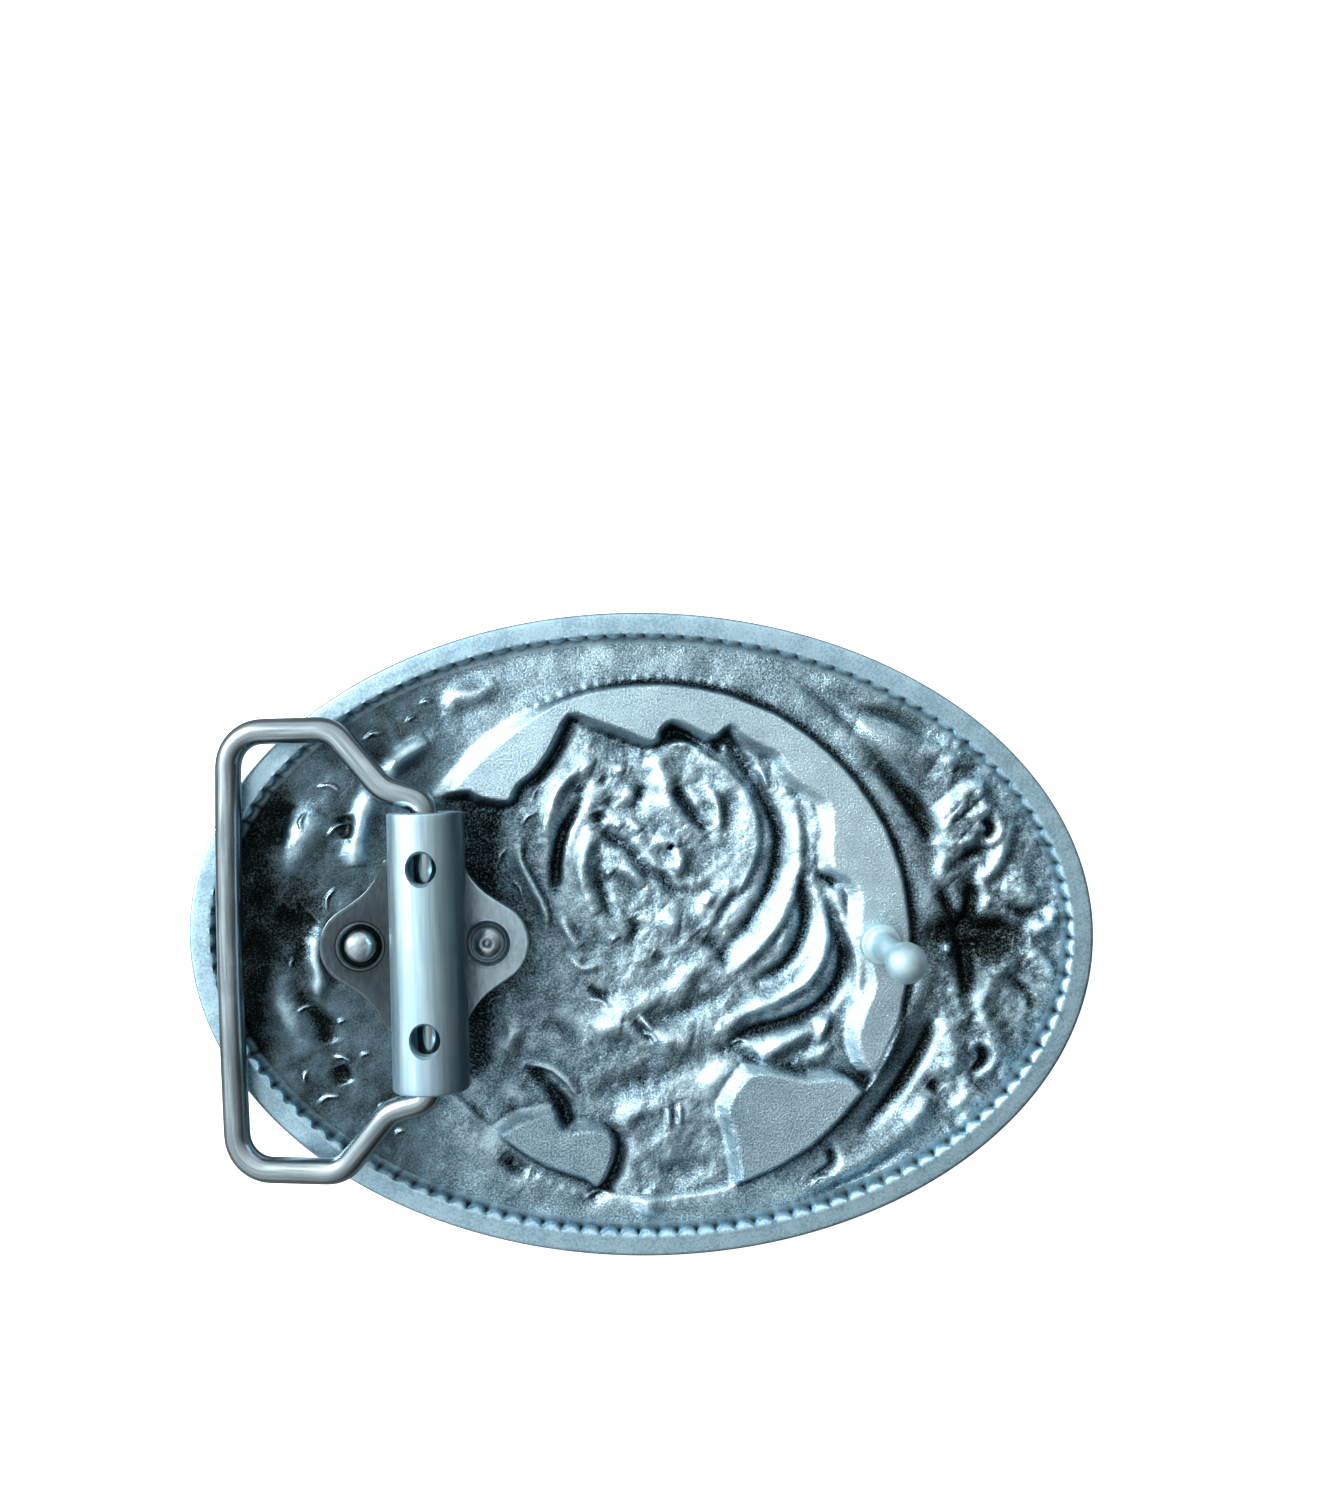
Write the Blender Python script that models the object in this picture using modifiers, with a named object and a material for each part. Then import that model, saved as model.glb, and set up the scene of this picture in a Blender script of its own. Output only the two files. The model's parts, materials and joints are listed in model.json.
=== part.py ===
"""Western belt buckle, lying on its face: a cast oval plate with a rose medallion, a hinge bracket
riveted to its back, a wire bail that swings in the bracket's tube, and a leaning hook stud.

Metres, +Z up. The origin is on the surface that the plate lies on, under the middle of the oval.
The long axis is X, with the bail at -X and the hook stud at +X, and the back faces +Z.
"""

import math

import bmesh
import bpy
from mathutils import Matrix

# Clearance between two pieces that touch on the real buckle.
GAP = 0.0003

# Face plate: an oval tray with a rim, a ring-shaped floor and a round medallion.
PLATE_LENGTH = 0.095
PLATE_WIDTH = 0.0676
RIM_TOP = 0.0042
RIM_WIDTH = 0.0022
ROPE_EDGE_WIDTH = 0.0032
EDGE_ROUND = 0.0005
CAST_WALL = 0.0013
RING_TOP = 0.0027
MEDALLION_MARGIN = 0.0046
MEDALLION_X = 0.001
MEDALLION_TOP = 0.0036
PLATE_SEGMENTS = 96

# Rose: hollow at the back and raised at the front, with a lobed outline and rings of petals.
ROSE_X = 0.0034
ROSE_Y = 0.0030
ROSE_MARGIN = 0.0102
ROSE_LOBES = 7
ROSE_LOBE_DEPTH = 0.0010
ROSE_FRONT = 0.0002
PETAL_HEIGHT = 0.0008
PETAL_HALF_WIDTH = 0.0010
PETAL_DIP = 0.0011
PETAL_COUNTS = (3, 4, 5)

# Leaf hollows in the ring on the hook side, each as (middle x, middle y, heading in degrees).
LEAF_LENGTH = 0.0140
LEAF_WIDTH = 0.0042
LEAF_DEPTH = 0.0007
LEAVES = ((0.0272, 0.0160, -62), (0.0278, -0.0165, 58), (0.0355, 0.0100, -72), (0.0355, -0.0110, 70))

# Hinge bracket: a stamped saddle with two eared ends and a tube brazed across it.
BAR_INSET = 0.0037
SADDLE_Y = -0.0012
BRACKET_SKEW = math.radians(1.9)
SADDLE_THICKNESS = 0.0010
SADDLE_ROOT = 0.0182
EAR_RADIUS = 0.0043
EAR_SLOPE = math.radians(57)
FLARE_OUT = 0.0014
FLARE_ROUND = 0.0080
BARREL_OFFSET = 0.0012
BARREL_OUTER = 0.00775
BORE_CLEARANCE = 0.00105
BARREL_LENGTH = 0.0280
DRAIN_HOLE = 0.0031
DRAIN_HOLE_PITCH = 0.0170

# Rivets: a shank in a cast post, and a domed head in a dished seat in the saddle's ear.
RIVET_PITCH = 0.0133
RIVET_SHANK = 0.0020
RIVET_HEAD = 0.0035
RIVET_DOME = 0.0011
RIVET_DISH = 0.0047
DISH_DEPTH = 0.0005
POST_RADIUS = 0.0030
POST_RELIEF = 0.00005
POST_FLOOR = 0.0007

# Bail: round wire bent in one plane, with both ends inside the tube.
WIRE = 0.00265
BAIL_REACH = 0.0211
BAIL_WIDTH = 0.0453
BAIL_SHIFT = 0.0002
BAIL_CORNER = 0.0037
SHOULDER_REACH = 0.0097
SHOULDER_ROUND = 0.0032
NECK_REACH = 0.0044
NECK_RISE = 0.0013
NECK_ROUND = 0.0032
THROAT = 0.0011
THROAT_ROUND = 0.0019
BAIL_END_GAP = 0.0030

# Hook stud: a collar on a spigot, with a ball head on a neck that leans away from the bail.
STUD_INSET = 0.0028
STUD_Y = -0.0008
STUD_SPIGOT = 0.0020
STUD_COLLAR = 0.0041
STUD_COLLAR_HEIGHT = 0.0011
STUD_NECK = 0.0026
STUD_BALL = 0.0046
STUD_RISE = 0.0060
STUD_LEAN = math.radians(16)
STUD_HEADING = math.radians(-34)

# How far a cutting shape runs past the face that it cuts.
THROUGH = 0.0010

# Sizes and places that follow from the ones above.
MEDALLION_RADIUS = PLATE_WIDTH / 2 - RIM_WIDTH - MEDALLION_MARGIN
ROSE_RADIUS = MEDALLION_RADIUS - ROSE_MARGIN
SADDLE_X = BAR_INSET + BAIL_REACH - PLATE_LENGTH / 2
STUD_X = MEDALLION_X + MEDALLION_RADIUS - STUD_INSET
RING_BOTTOM = RING_TOP - CAST_WALL
MEDALLION_BOTTOM = MEDALLION_TOP - CAST_WALL
ROSE_FLOOR = ROSE_FRONT + CAST_WALL
SADDLE_BOTTOM = MEDALLION_TOP + GAP
SADDLE_TOP = SADDLE_BOTTOM + SADDLE_THICKNESS
DISH_FLOOR = SADDLE_TOP - DISH_DEPTH
AXIS_Z = SADDLE_TOP + GAP + BARREL_OUTER / 2
BAIL_DROP = math.asin((AXIS_Z - RIM_TOP - WIRE / 2 - GAP) / BAIL_REACH)


def clear_scene():
    for thing in list(bpy.data.objects):
        bpy.data.objects.remove(thing, do_unlink=True)


def new_collection(name):
    made = bpy.data.collections.new(name)
    bpy.context.scene.collection.children.link(made)
    return made


def metal(name, colour, roughness, metallic=1.0):
    made = bpy.data.materials.new(name)
    made.use_nodes = True
    shader = made.node_tree.nodes["Principled BSDF"]
    shader.inputs["Base Color"].default_value = (*colour, 1.0)
    shader.inputs["Metallic"].default_value = metallic
    shader.inputs["Roughness"].default_value = roughness
    return made


def place(thing, collection, finish=None, parent=None, location=(0, 0, 0), rotation=(0, 0, 0)):
    collection.objects.link(thing)
    thing.location = location
    thing.rotation_euler = rotation
    thing.parent = parent
    if finish:
        thing.data.materials.clear()
        thing.data.materials.append(finish)
    return thing


def as_tool(thing):
    """A shape that cuts or joins another piece and isn't a piece itself."""
    thing.hide_render = True
    thing.display_type = "WIRE"
    return thing


def smooth(thing):
    thing.data.shade_smooth()
    thing.data.set_sharp_from_angle(angle=math.radians(35))


def boolean(thing, tool, operation="DIFFERENCE"):
    step = thing.modifiers.new(f"{operation.lower()} {tool.name}", "BOOLEAN")
    step.object = tool
    step.operation = operation
    step.solver = "EXACT"


def curve_to_mesh(curve_object, name):
    """The welded mesh of a curve object, which it replaces."""
    bpy.context.scene.collection.objects.link(curve_object)
    graph = bpy.context.evaluated_depsgraph_get()
    mesh = bpy.data.meshes.new_from_object(curve_object.evaluated_get(graph))
    bpy.data.objects.remove(curve_object, do_unlink=True)
    work = bmesh.new()
    work.from_mesh(mesh)
    bmesh.ops.remove_doubles(work, verts=work.verts, dist=1e-6)
    bmesh.ops.recalc_face_normals(work, faces=work.faces)
    work.to_mesh(mesh)
    work.free()
    mesh.name = name
    return bpy.data.objects.new(name, mesh)


def flat_solid(name, outlines, low, high, edge_round=0.0):
    """Closed outlines of (x, y) points, filled and raised from one height to another. An outline
    inside another one is a hole."""
    data = bpy.data.curves.new(name, "CURVE")
    data.dimensions = "2D"
    data.fill_mode = "BOTH"
    data.extrude = (high - low) / 2 - edge_round
    data.bevel_depth = edge_round
    data.bevel_resolution = 1
    data.offset = -edge_round
    for outline in outlines:
        spline = data.splines.new("POLY")
        spline.points.add(len(outline) - 1)
        for point, (x, y) in zip(spline.points, outline):
            point.co = (x, y, 0, 1)
        spline.use_cyclic_u = True
    solid = curve_to_mesh(bpy.data.objects.new(name, data), name)
    solid.data.transform(Matrix.Translation((0, 0, (low + high) / 2)))
    return solid


def turn_angles(count):
    return [2 * math.pi * step / count for step in range(count)]


def disc(radius, x=0.0, y=0.0, count=32):
    return [(x + radius * math.cos(a), y + radius * math.sin(a)) for a in turn_angles(count)]


def oval_ring(inset, height):
    """A section of the plate: its outline drawn in by the given amount."""
    half_x = PLATE_LENGTH / 2 - inset
    half_y = PLATE_WIDTH / 2 - inset
    return [(half_x * math.cos(a), half_y * math.sin(a), height) for a in turn_angles(PLATE_SEGMENTS)]


def medallion_ring(radius, height):
    return [(x, y, height) for x, y in disc(radius, MEDALLION_X, 0, PLATE_SEGMENTS)]


def rose_ring(radius, lobes, dip, height, turn=0.0):
    """A circle about the rose's centre with round lobes between sharp dips."""
    ring = []
    for angle in turn_angles(PLATE_SEGMENTS):
        reach = radius - dip * (1 - abs(math.sin(lobes * (angle + turn) / 2)))
        ring.append((ROSE_X + reach * math.cos(angle), ROSE_Y + reach * math.sin(angle), height))
    return ring


def petal_rings():
    """The rose hollow's floor: each ring of petals is a ridge between two valleys."""
    spacing = (ROSE_RADIUS - CAST_WALL - ROSE_LOBE_DEPTH) / len(PETAL_COUNTS)
    for number, count in reversed(list(enumerate(PETAL_COUNTS))):
        radius = spacing * (number + 0.6)
        for side in (1, 0, -1):
            reach = radius + side * PETAL_HALF_WIDTH
            height = ROSE_FLOOR + (0 if side else PETAL_HEIGHT)
            yield rose_ring(reach, count, PETAL_DIP, height, number)


def leaf_outline(x, y, heading, count=9):
    """A lens of two arcs between its two tips."""
    angle = math.radians(heading)
    points = []
    for side in (1, -1):
        for step in range(count - 1):
            along = side * LEAF_LENGTH * (0.5 - step / (count - 1))
            across = side * LEAF_WIDTH / 2 * (1 - (2 * along / LEAF_LENGTH) ** 2)
            points.append((
                x + along * math.cos(angle) - across * math.sin(angle),
                y + along * math.sin(angle) + across * math.cos(angle),
            ))
    return points[::-1]


def turned(name, profile, steps=32, closed=False):
    """A profile of (radius, height) points, top to bottom on its outer side, turned about Z."""
    mesh = bpy.data.meshes.new(name)
    edges = [(index, index + 1) for index in range(len(profile) - 1)]
    if closed:
        edges.append((len(profile) - 1, 0))
    mesh.from_pydata([(radius, 0, height) for radius, height in profile], edges, [])
    solid = bpy.data.objects.new(name, mesh)
    screw = solid.modifiers.new("turn", "SCREW")
    screw.steps = steps
    screw.render_steps = steps
    screw.use_merge_vertices = True
    screw.merge_threshold = 1e-6
    screw.use_smooth_shade = True
    return solid


def tube_along(name, points, diameter):
    """A round wire through the points, with closed ends."""
    data = bpy.data.curves.new(name, "CURVE")
    data.dimensions = "3D"
    data.bevel_depth = diameter / 2
    data.bevel_resolution = 2
    data.use_fill_caps = True
    spline = data.splines.new("POLY")
    spline.points.add(len(points) - 1)
    for point, place_of in zip(spline.points, points):
        point.co = (*place_of, 1)
    return bpy.data.objects.new(name, data)


def rounded_path(corners, turn_per_point=math.radians(13)):
    """Points along straight runs joined by arcs; each corner is (x, y, radius)."""
    points = [corners[0][:2]]
    for before, (x, y, radius), after in zip(corners, corners[1:], corners[2:]):
        into = math.atan2(y - before[1], x - before[0])
        out = math.atan2(after[1] - y, after[0] - x)
        turn = (out - into + math.pi) % (2 * math.pi) - math.pi
        back = radius * math.tan(abs(turn) / 2)
        side = math.copysign(1, turn)
        middle_x = x - back * math.cos(into) - side * radius * math.sin(into)
        middle_y = y - back * math.sin(into) + side * radius * math.cos(into)
        count = max(2, math.ceil(abs(turn) / turn_per_point))
        for step in range(count + 1):
            angle = into + turn * step / count
            points.append((
                middle_x + side * radius * math.sin(angle),
                middle_y - side * radius * math.cos(angle),
            ))
    points.append(corners[-1][:2])
    kept = points[:1]
    for point in points[1:]:
        if math.dist(point, kept[-1]) > 1e-6:
            kept.append(point)
    return kept


def loft(name, rings, first_middle, last_middle):
    """A closed surface through rings of equal count, closed by a fan to a point at each end."""
    work = bmesh.new()
    rows = [[work.verts.new(place_of) for place_of in ring] for ring in rings]
    for row, following in zip(rows, rows[1:]):
        for index in range(len(row)):
            work.faces.new((row[index - 1], row[index], following[index], following[index - 1]))
    for row, middle in ((rows[0], first_middle), (rows[-1], last_middle)):
        tip = work.verts.new(middle)
        for index in range(len(row)):
            work.faces.new((row[index - 1], row[index], tip))
    bmesh.ops.recalc_face_normals(work, faces=work.faces)
    mesh = bpy.data.meshes.new(name)
    work.to_mesh(mesh)
    work.free()
    return bpy.data.objects.new(name, mesh)


def make_face_plate(pieces, tools, finish):
    front = [
        rose_ring(ROSE_RADIUS, ROSE_LOBES, ROSE_LOBE_DEPTH, ROSE_FRONT),
        rose_ring(ROSE_RADIUS, ROSE_LOBES, ROSE_LOBE_DEPTH, MEDALLION_BOTTOM),
        medallion_ring(MEDALLION_RADIUS - CAST_WALL, MEDALLION_BOTTOM),
        medallion_ring(MEDALLION_RADIUS - CAST_WALL, RING_BOTTOM),
        oval_ring(ROPE_EDGE_WIDTH, RING_BOTTOM),
        oval_ring(ROPE_EDGE_WIDTH, 0),
    ]
    rim = [
        oval_ring(EDGE_ROUND, 0),
        oval_ring(0, EDGE_ROUND),
        oval_ring(0, RIM_TOP - EDGE_ROUND),
        oval_ring(EDGE_ROUND, RIM_TOP),
    ]
    hollow_radius = ROSE_RADIUS - CAST_WALL
    back = [
        oval_ring(RIM_WIDTH, RIM_TOP),
        oval_ring(RIM_WIDTH, RING_TOP),
        medallion_ring(MEDALLION_RADIUS, RING_TOP),
        medallion_ring(MEDALLION_RADIUS, MEDALLION_TOP),
        rose_ring(hollow_radius, ROSE_LOBES, ROSE_LOBE_DEPTH, MEDALLION_TOP),
        rose_ring(hollow_radius, ROSE_LOBES, ROSE_LOBE_DEPTH, ROSE_FLOOR),
        *petal_rings(),
    ]
    rose_face = (ROSE_X, ROSE_Y, ROSE_FRONT)
    rose_heart = (ROSE_X, ROSE_Y, ROSE_FLOOR)
    plate = loft("face_plate", front + rim + back, rose_face, rose_heart)
    place(plate, pieces, finish)

    def shape(name, outlines, low, high, operation="DIFFERENCE"):
        boolean(plate, as_tool(place(flat_solid(name, outlines, low, high), tools)), operation)

    leaves = [leaf_outline(*leaf) for leaf in LEAVES]
    shape("leaf_hollows", leaves, RING_TOP - LEAF_DEPTH, RIM_TOP + THROUGH)
    left, right, stud = post_centres()
    posts = [disc(POST_RADIUS, *centre) for centre in (left, right, stud)]
    shape("posts", posts, ROSE_FRONT, MEDALLION_TOP - POST_RELIEF, "UNION")
    holes = [disc(RIVET_SHANK / 2 + GAP, *left), disc(RIVET_SHANK / 2 + GAP, *right)]
    holes.append(disc(STUD_SPIGOT / 2 + GAP, *stud))
    shape("post_holes", holes, ROSE_FRONT + POST_FLOOR, RIM_TOP + THROUGH)
    return plate


def bracket_point(along_x, along_y):
    """A place on the plate given in the bracket's own skewed axes."""
    cosine = math.cos(BRACKET_SKEW)
    sine = math.sin(BRACKET_SKEW)
    return SADDLE_X + along_x * cosine - along_y * sine, SADDLE_Y + along_x * sine + along_y * cosine


def post_centres():
    """The cast posts that hold the left rivet, the right rivet and the stud."""
    return bracket_point(-RIVET_PITCH / 2, 0), bracket_point(RIVET_PITCH / 2, 0), (STUD_X, STUD_Y)


def saddle_outline():
    """Two round ears drawn out to a broad root under the tube, from one smooth quarter."""
    tip = RIVET_PITCH / 2 + EAR_RADIUS
    ear_y = EAR_RADIUS * math.tan(EAR_SLOPE / 2)
    flare_x = BARREL_OUTER / 2 + FLARE_OUT
    quarter = rounded_path((
        (tip, 0, 0),
        (tip, ear_y, EAR_RADIUS),
        (flare_x, ear_y + (tip - flare_x) / math.tan(EAR_SLOPE), FLARE_ROUND),
        (BARREL_OUTER / 2, SADDLE_ROOT / 2, 0),
    ))
    half = quarter + [(-x, y) for x, y in quarter[::-1]]
    return half + [(x, -y) for x, y in half[-2:0:-1]]


def make_bracket(pieces, tools, saddle_finish, barrel_finish, frame):
    rivets = (-RIVET_PITCH / 2, RIVET_PITCH / 2)
    holes = [disc(RIVET_SHANK / 2 + GAP, x) for x in rivets]
    dishes = [disc(RIVET_DISH / 2, x) for x in rivets]
    outlines = [saddle_outline(), *holes]
    saddle = flat_solid("bracket_saddle", outlines, SADDLE_BOTTOM, SADDLE_TOP)
    place(saddle, pieces, saddle_finish, frame)
    dish = flat_solid("saddle_dishes", dishes, DISH_FLOOR, SADDLE_TOP + THROUGH)
    boolean(saddle, as_tool(place(dish, tools, parent=frame)))

    outer = BARREL_OUTER / 2
    bore = WIRE / 2 + BORE_CLEARANCE
    top = BARREL_LENGTH / 2
    wall = ((bore, top), (outer, top), (outer, -top), (bore, -top))
    barrel = turned("bracket_barrel", wall, 48, closed=True)
    lying = (math.radians(-90), 0, 0)
    place(barrel, pieces, barrel_finish, frame, (BARREL_OFFSET, 0, AXIS_Z), lying)
    holes = [disc(DRAIN_HOLE / 2, BARREL_OFFSET, side * DRAIN_HOLE_PITCH / 2) for side in (-1, 1)]
    drain = flat_solid("drain_holes", holes, AXIS_Z, AXIS_Z + BARREL_OUTER)
    boolean(barrel, as_tool(place(drain, tools, parent=frame)))
    return saddle, barrel


def make_rivets(pieces, finish, frame):
    head_low = DISH_FLOOR + GAP
    dome_radius = RIVET_HEAD / 2
    profile = [
        (dome_radius * math.sin(math.radians(angle)), head_low + RIVET_DOME * math.cos(math.radians(angle)))
        for angle in range(0, 91, 15)
    ]
    shank_foot = ROSE_FRONT + POST_FLOOR + GAP
    profile += [(RIVET_SHANK / 2, head_low), (RIVET_SHANK / 2, shank_foot), (0, shank_foot)]
    for name, side in (("rivet_left", -1), ("rivet_right", 1)):
        rivet = turned(name, profile, 28)
        place(rivet, pieces, finish, frame, (side * RIVET_PITCH / 2, 0, 0))


def bail_corners():
    """The bail's bends on one side, as (reach from the tube's axis, way along it, radius)."""
    mouth = BARREL_LENGTH / 2 + THROAT
    return (
        (0, BAIL_END_GAP / 2, 0),
        (0, mouth, THROAT_ROUND),
        (NECK_REACH, mouth + NECK_RISE, NECK_ROUND),
        (SHOULDER_REACH, BAIL_WIDTH / 2, SHOULDER_ROUND),
        (BAIL_REACH, BAIL_WIDTH / 2, BAIL_CORNER),
        (BAIL_REACH, 0, 0),
    )


def make_bail(pieces, finish, frame):
    half = rounded_path(bail_corners())
    flat = half[:-1] + [(reach, -along) for reach, along in half[-2::-1]]
    points = [(-reach, along + BAIL_SHIFT, 0) for reach, along in flat]
    bail = curve_to_mesh(tube_along("bail", points, WIRE), "bail")
    tilt = (0, -BAIL_DROP, 0)
    place(bail, pieces, finish, frame, (BARREL_OFFSET, 0, AXIS_Z), tilt)
    smooth(bail)


def make_stud(pieces, tools, finish):
    collar_low = MEDALLION_TOP + GAP
    collar_top = collar_low + STUD_COLLAR_HEIGHT
    foot = ROSE_FRONT + POST_FLOOR + GAP
    chamfer = STUD_COLLAR_HEIGHT / 4
    stud = turned("hook_stud", [
        (0, collar_top),
        (STUD_COLLAR / 2 - chamfer, collar_top),
        (STUD_COLLAR / 2, collar_top - chamfer),
        (STUD_COLLAR / 2, collar_low),
        (STUD_SPIGOT / 2, collar_low),
        (STUD_SPIGOT / 2, foot),
        (0, foot),
    ])
    place(stud, pieces, finish, location=(STUD_X, STUD_Y, 0))
    neck_angle = math.asin(STUD_NECK / STUD_BALL)
    ball_stop = math.degrees(math.pi - neck_angle)
    ball = [
        (STUD_BALL / 2 * math.sin(math.radians(ball_stop * step / 12)),
         STUD_RISE + STUD_BALL / 2 * math.cos(math.radians(ball_stop * step / 12)))
        for step in range(13)
    ]
    head = turned("stud_head", ball + [(STUD_NECK / 2, -STUD_COLLAR_HEIGHT / 2), (0, -STUD_COLLAR_HEIGHT / 2)])
    lean = (0, STUD_LEAN, STUD_HEADING)
    as_tool(place(head, tools, location=(STUD_X, STUD_Y, collar_top), rotation=lean))
    boolean(stud, head, "UNION")


def main():
    clear_scene()
    pieces = new_collection("belt_buckle")
    tools = new_collection("shaping_tools")
    tools.hide_render = True
    silver = metal("antique_silver_casting", (0.42, 0.46, 0.48), 0.42)
    satin = metal("satin_silver", (0.62, 0.67, 0.70), 0.30)
    dark = metal("antique_silver_stamping", (0.30, 0.32, 0.33), 0.45)
    steel = metal("brushed_wire", (0.42, 0.42, 0.42), 0.28)

    make_face_plate(pieces, tools, silver)
    bracket = bpy.data.objects.new("bracket_frame", None)
    place(bracket, pieces, location=(SADDLE_X, SADDLE_Y, 0), rotation=(0, 0, BRACKET_SKEW))
    make_bracket(pieces, tools, dark, satin, bracket)
    make_rivets(pieces, dark, bracket)
    make_bail(pieces, steel, bracket)
    make_stud(pieces, tools, satin)
    bpy.context.view_layer.update()


main()
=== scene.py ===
import json
import math
import bmesh
import bpy
import numpy as np
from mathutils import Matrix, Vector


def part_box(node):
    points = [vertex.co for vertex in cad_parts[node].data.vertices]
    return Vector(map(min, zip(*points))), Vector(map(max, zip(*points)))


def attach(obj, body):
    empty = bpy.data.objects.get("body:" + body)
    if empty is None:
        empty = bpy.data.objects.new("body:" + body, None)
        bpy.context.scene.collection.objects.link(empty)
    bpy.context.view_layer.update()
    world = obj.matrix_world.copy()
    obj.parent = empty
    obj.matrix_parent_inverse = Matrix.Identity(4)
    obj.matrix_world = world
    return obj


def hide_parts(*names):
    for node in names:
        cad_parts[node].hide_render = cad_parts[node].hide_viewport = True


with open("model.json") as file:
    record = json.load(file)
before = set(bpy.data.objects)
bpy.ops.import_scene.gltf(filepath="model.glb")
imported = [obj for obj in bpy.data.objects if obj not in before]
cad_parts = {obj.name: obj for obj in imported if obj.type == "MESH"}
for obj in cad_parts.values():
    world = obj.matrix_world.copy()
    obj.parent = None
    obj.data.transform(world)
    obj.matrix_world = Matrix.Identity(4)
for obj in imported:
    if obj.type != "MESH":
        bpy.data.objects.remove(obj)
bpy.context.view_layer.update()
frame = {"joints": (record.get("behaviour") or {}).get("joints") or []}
mm = 0.001
scene = bpy.context.scene

# places and sizes that the frame gives, in millimetres
plateLow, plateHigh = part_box("face_plate")
halfLong = (plateHigh.x - plateLow.x) / 2 / mm
halfShort = (plateHigh.y - plateLow.y) / 2 / mm
rimTop = plateHigh.z / mm
hinge = frame["joints"][0]
pivot = np.array(hinge["pos_m"]) / mm
skew = math.atan2(-hinge["axis"][0], hinge["axis"][1])


# small numpy tools, all in millimetres

def smoothStep(low, high, value):
    # cubic ease from 0 at low to 1 at high
    share = np.clip((value - low) / (high - low), 0, 1)
    return share * share * (3 - 2 * share)


def lattice(x, y, cell, seed):
    # value noise: random numbers on a square lattice, eased between its corners, from -1 to 1
    table = np.random.default_rng(seed).uniform(-1, 1, (256, 256))
    gx = x / cell + 61.7
    gy = y / cell + 37.3
    ix = np.floor(gx).astype(int)
    iy = np.floor(gy).astype(int)
    fx = smoothStep(0, 1, gx - ix)
    fy = smoothStep(0, 1, gy - iy)

    def pick(ox, oy):
        return table[(ix + ox) % 256, (iy + oy) % 256]

    low = pick(0, 0) * (1 - fx) + pick(1, 0) * fx
    high = pick(0, 1) * (1 - fx) + pick(1, 1) * fx
    return low * (1 - fy) + high * fy


def lumps(x, y, cell, seed, octaves=3):
    # sum of lattices, each with half the cell and half the height of the one before
    total = np.zeros_like(x)
    for step in range(octaves):
        turn = 0.7 * step + 0.4
        across = x * math.cos(turn) - y * math.sin(turn)
        along = x * math.sin(turn) + y * math.cos(turn)
        total += lattice(across, along, cell / 2 ** step, seed + step) / 2 ** step
    return total / 1.6


def softPath(points, steps=6, closed=False):
    # Catmull-Rom curve through the points
    knots = np.array(points, float)
    if closed:
        knots = np.vstack([knots[-1], knots, knots[0], knots[1]])
    else:
        knots = np.vstack([2 * knots[0] - knots[1], knots, 2 * knots[-1] - knots[-2]])
    t = np.linspace(0, 1, steps, endpoint=False)[:, None]
    parts = []
    for a, b, c, d in zip(knots, knots[1:], knots[2:], knots[3:]):
        parts.append(0.5 * (2 * b + (c - a) * t + (2 * a - 5 * b + 4 * c - d) * t ** 2
                            + (3 * b - a - 3 * c + d) * t ** 3))
    if not closed:
        parts.append(knots[-2][None])
    return np.vstack(parts)


def nearPath(x, y, path):
    # distance to the path, +1 on its left and -1 on its right, and the share of its length
    best = np.full(x.shape, 1e9)
    side = np.ones_like(x)
    along = np.zeros_like(x)
    count = len(path) - 1
    for index in range(count):
        ax, ay = path[index]
        dx, dy = path[index + 1] - path[index]
        length = dx * dx + dy * dy + 1e-12
        t = np.clip(((x - ax) * dx + (y - ay) * dy) / length, 0, 1)
        px = x - ax - t * dx
        py = y - ay - t * dy
        square = px * px + py * py
        closer = square < best
        best = np.where(closer, square, best)
        side = np.where(closer, np.sign(dx * py - dy * px + 1e-15), side)
        along = np.where(closer, (index + t) / count, along)
    return np.sqrt(best), side, along


def addStroke(field, x, y, rise, leftWidth, rightWidth, points, taper=0.5, steps=6):
    # a ridge or a groove: rise times a bell of the distance, with its own width on each side, and
    # running out to nothing at both ends
    path = softPath(np.reshape(points, (-1, 2)), steps)
    reach = 2.4 * max(leftWidth, rightWidth)
    low = path.min(axis=0) - reach
    high = path.max(axis=0) + reach
    near = (x > low[0]) & (x < high[0]) & (y > low[1]) & (y < high[1])
    if not near.any():
        return
    distance, side, along = nearPath(x[near], y[near], path)
    width = np.where(side > 0, leftWidth, rightWidth)
    ends = np.sin(np.pi * np.clip(along, 0.02, 0.98)) ** taper
    field[near] += rise * np.exp(-(distance / width) ** 2) * ends


def blurred(values, passes):
    # repeated mean of each point and its four neighbours
    for _ in range(passes):
        padded = np.pad(values, 1, mode="edge")
        values = (padded[1:-1, 1:-1] * 2 + padded[:-2, 1:-1] + padded[2:, 1:-1]
                  + padded[1:-1, :-2] + padded[1:-1, 2:]) / 6
    return values


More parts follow.
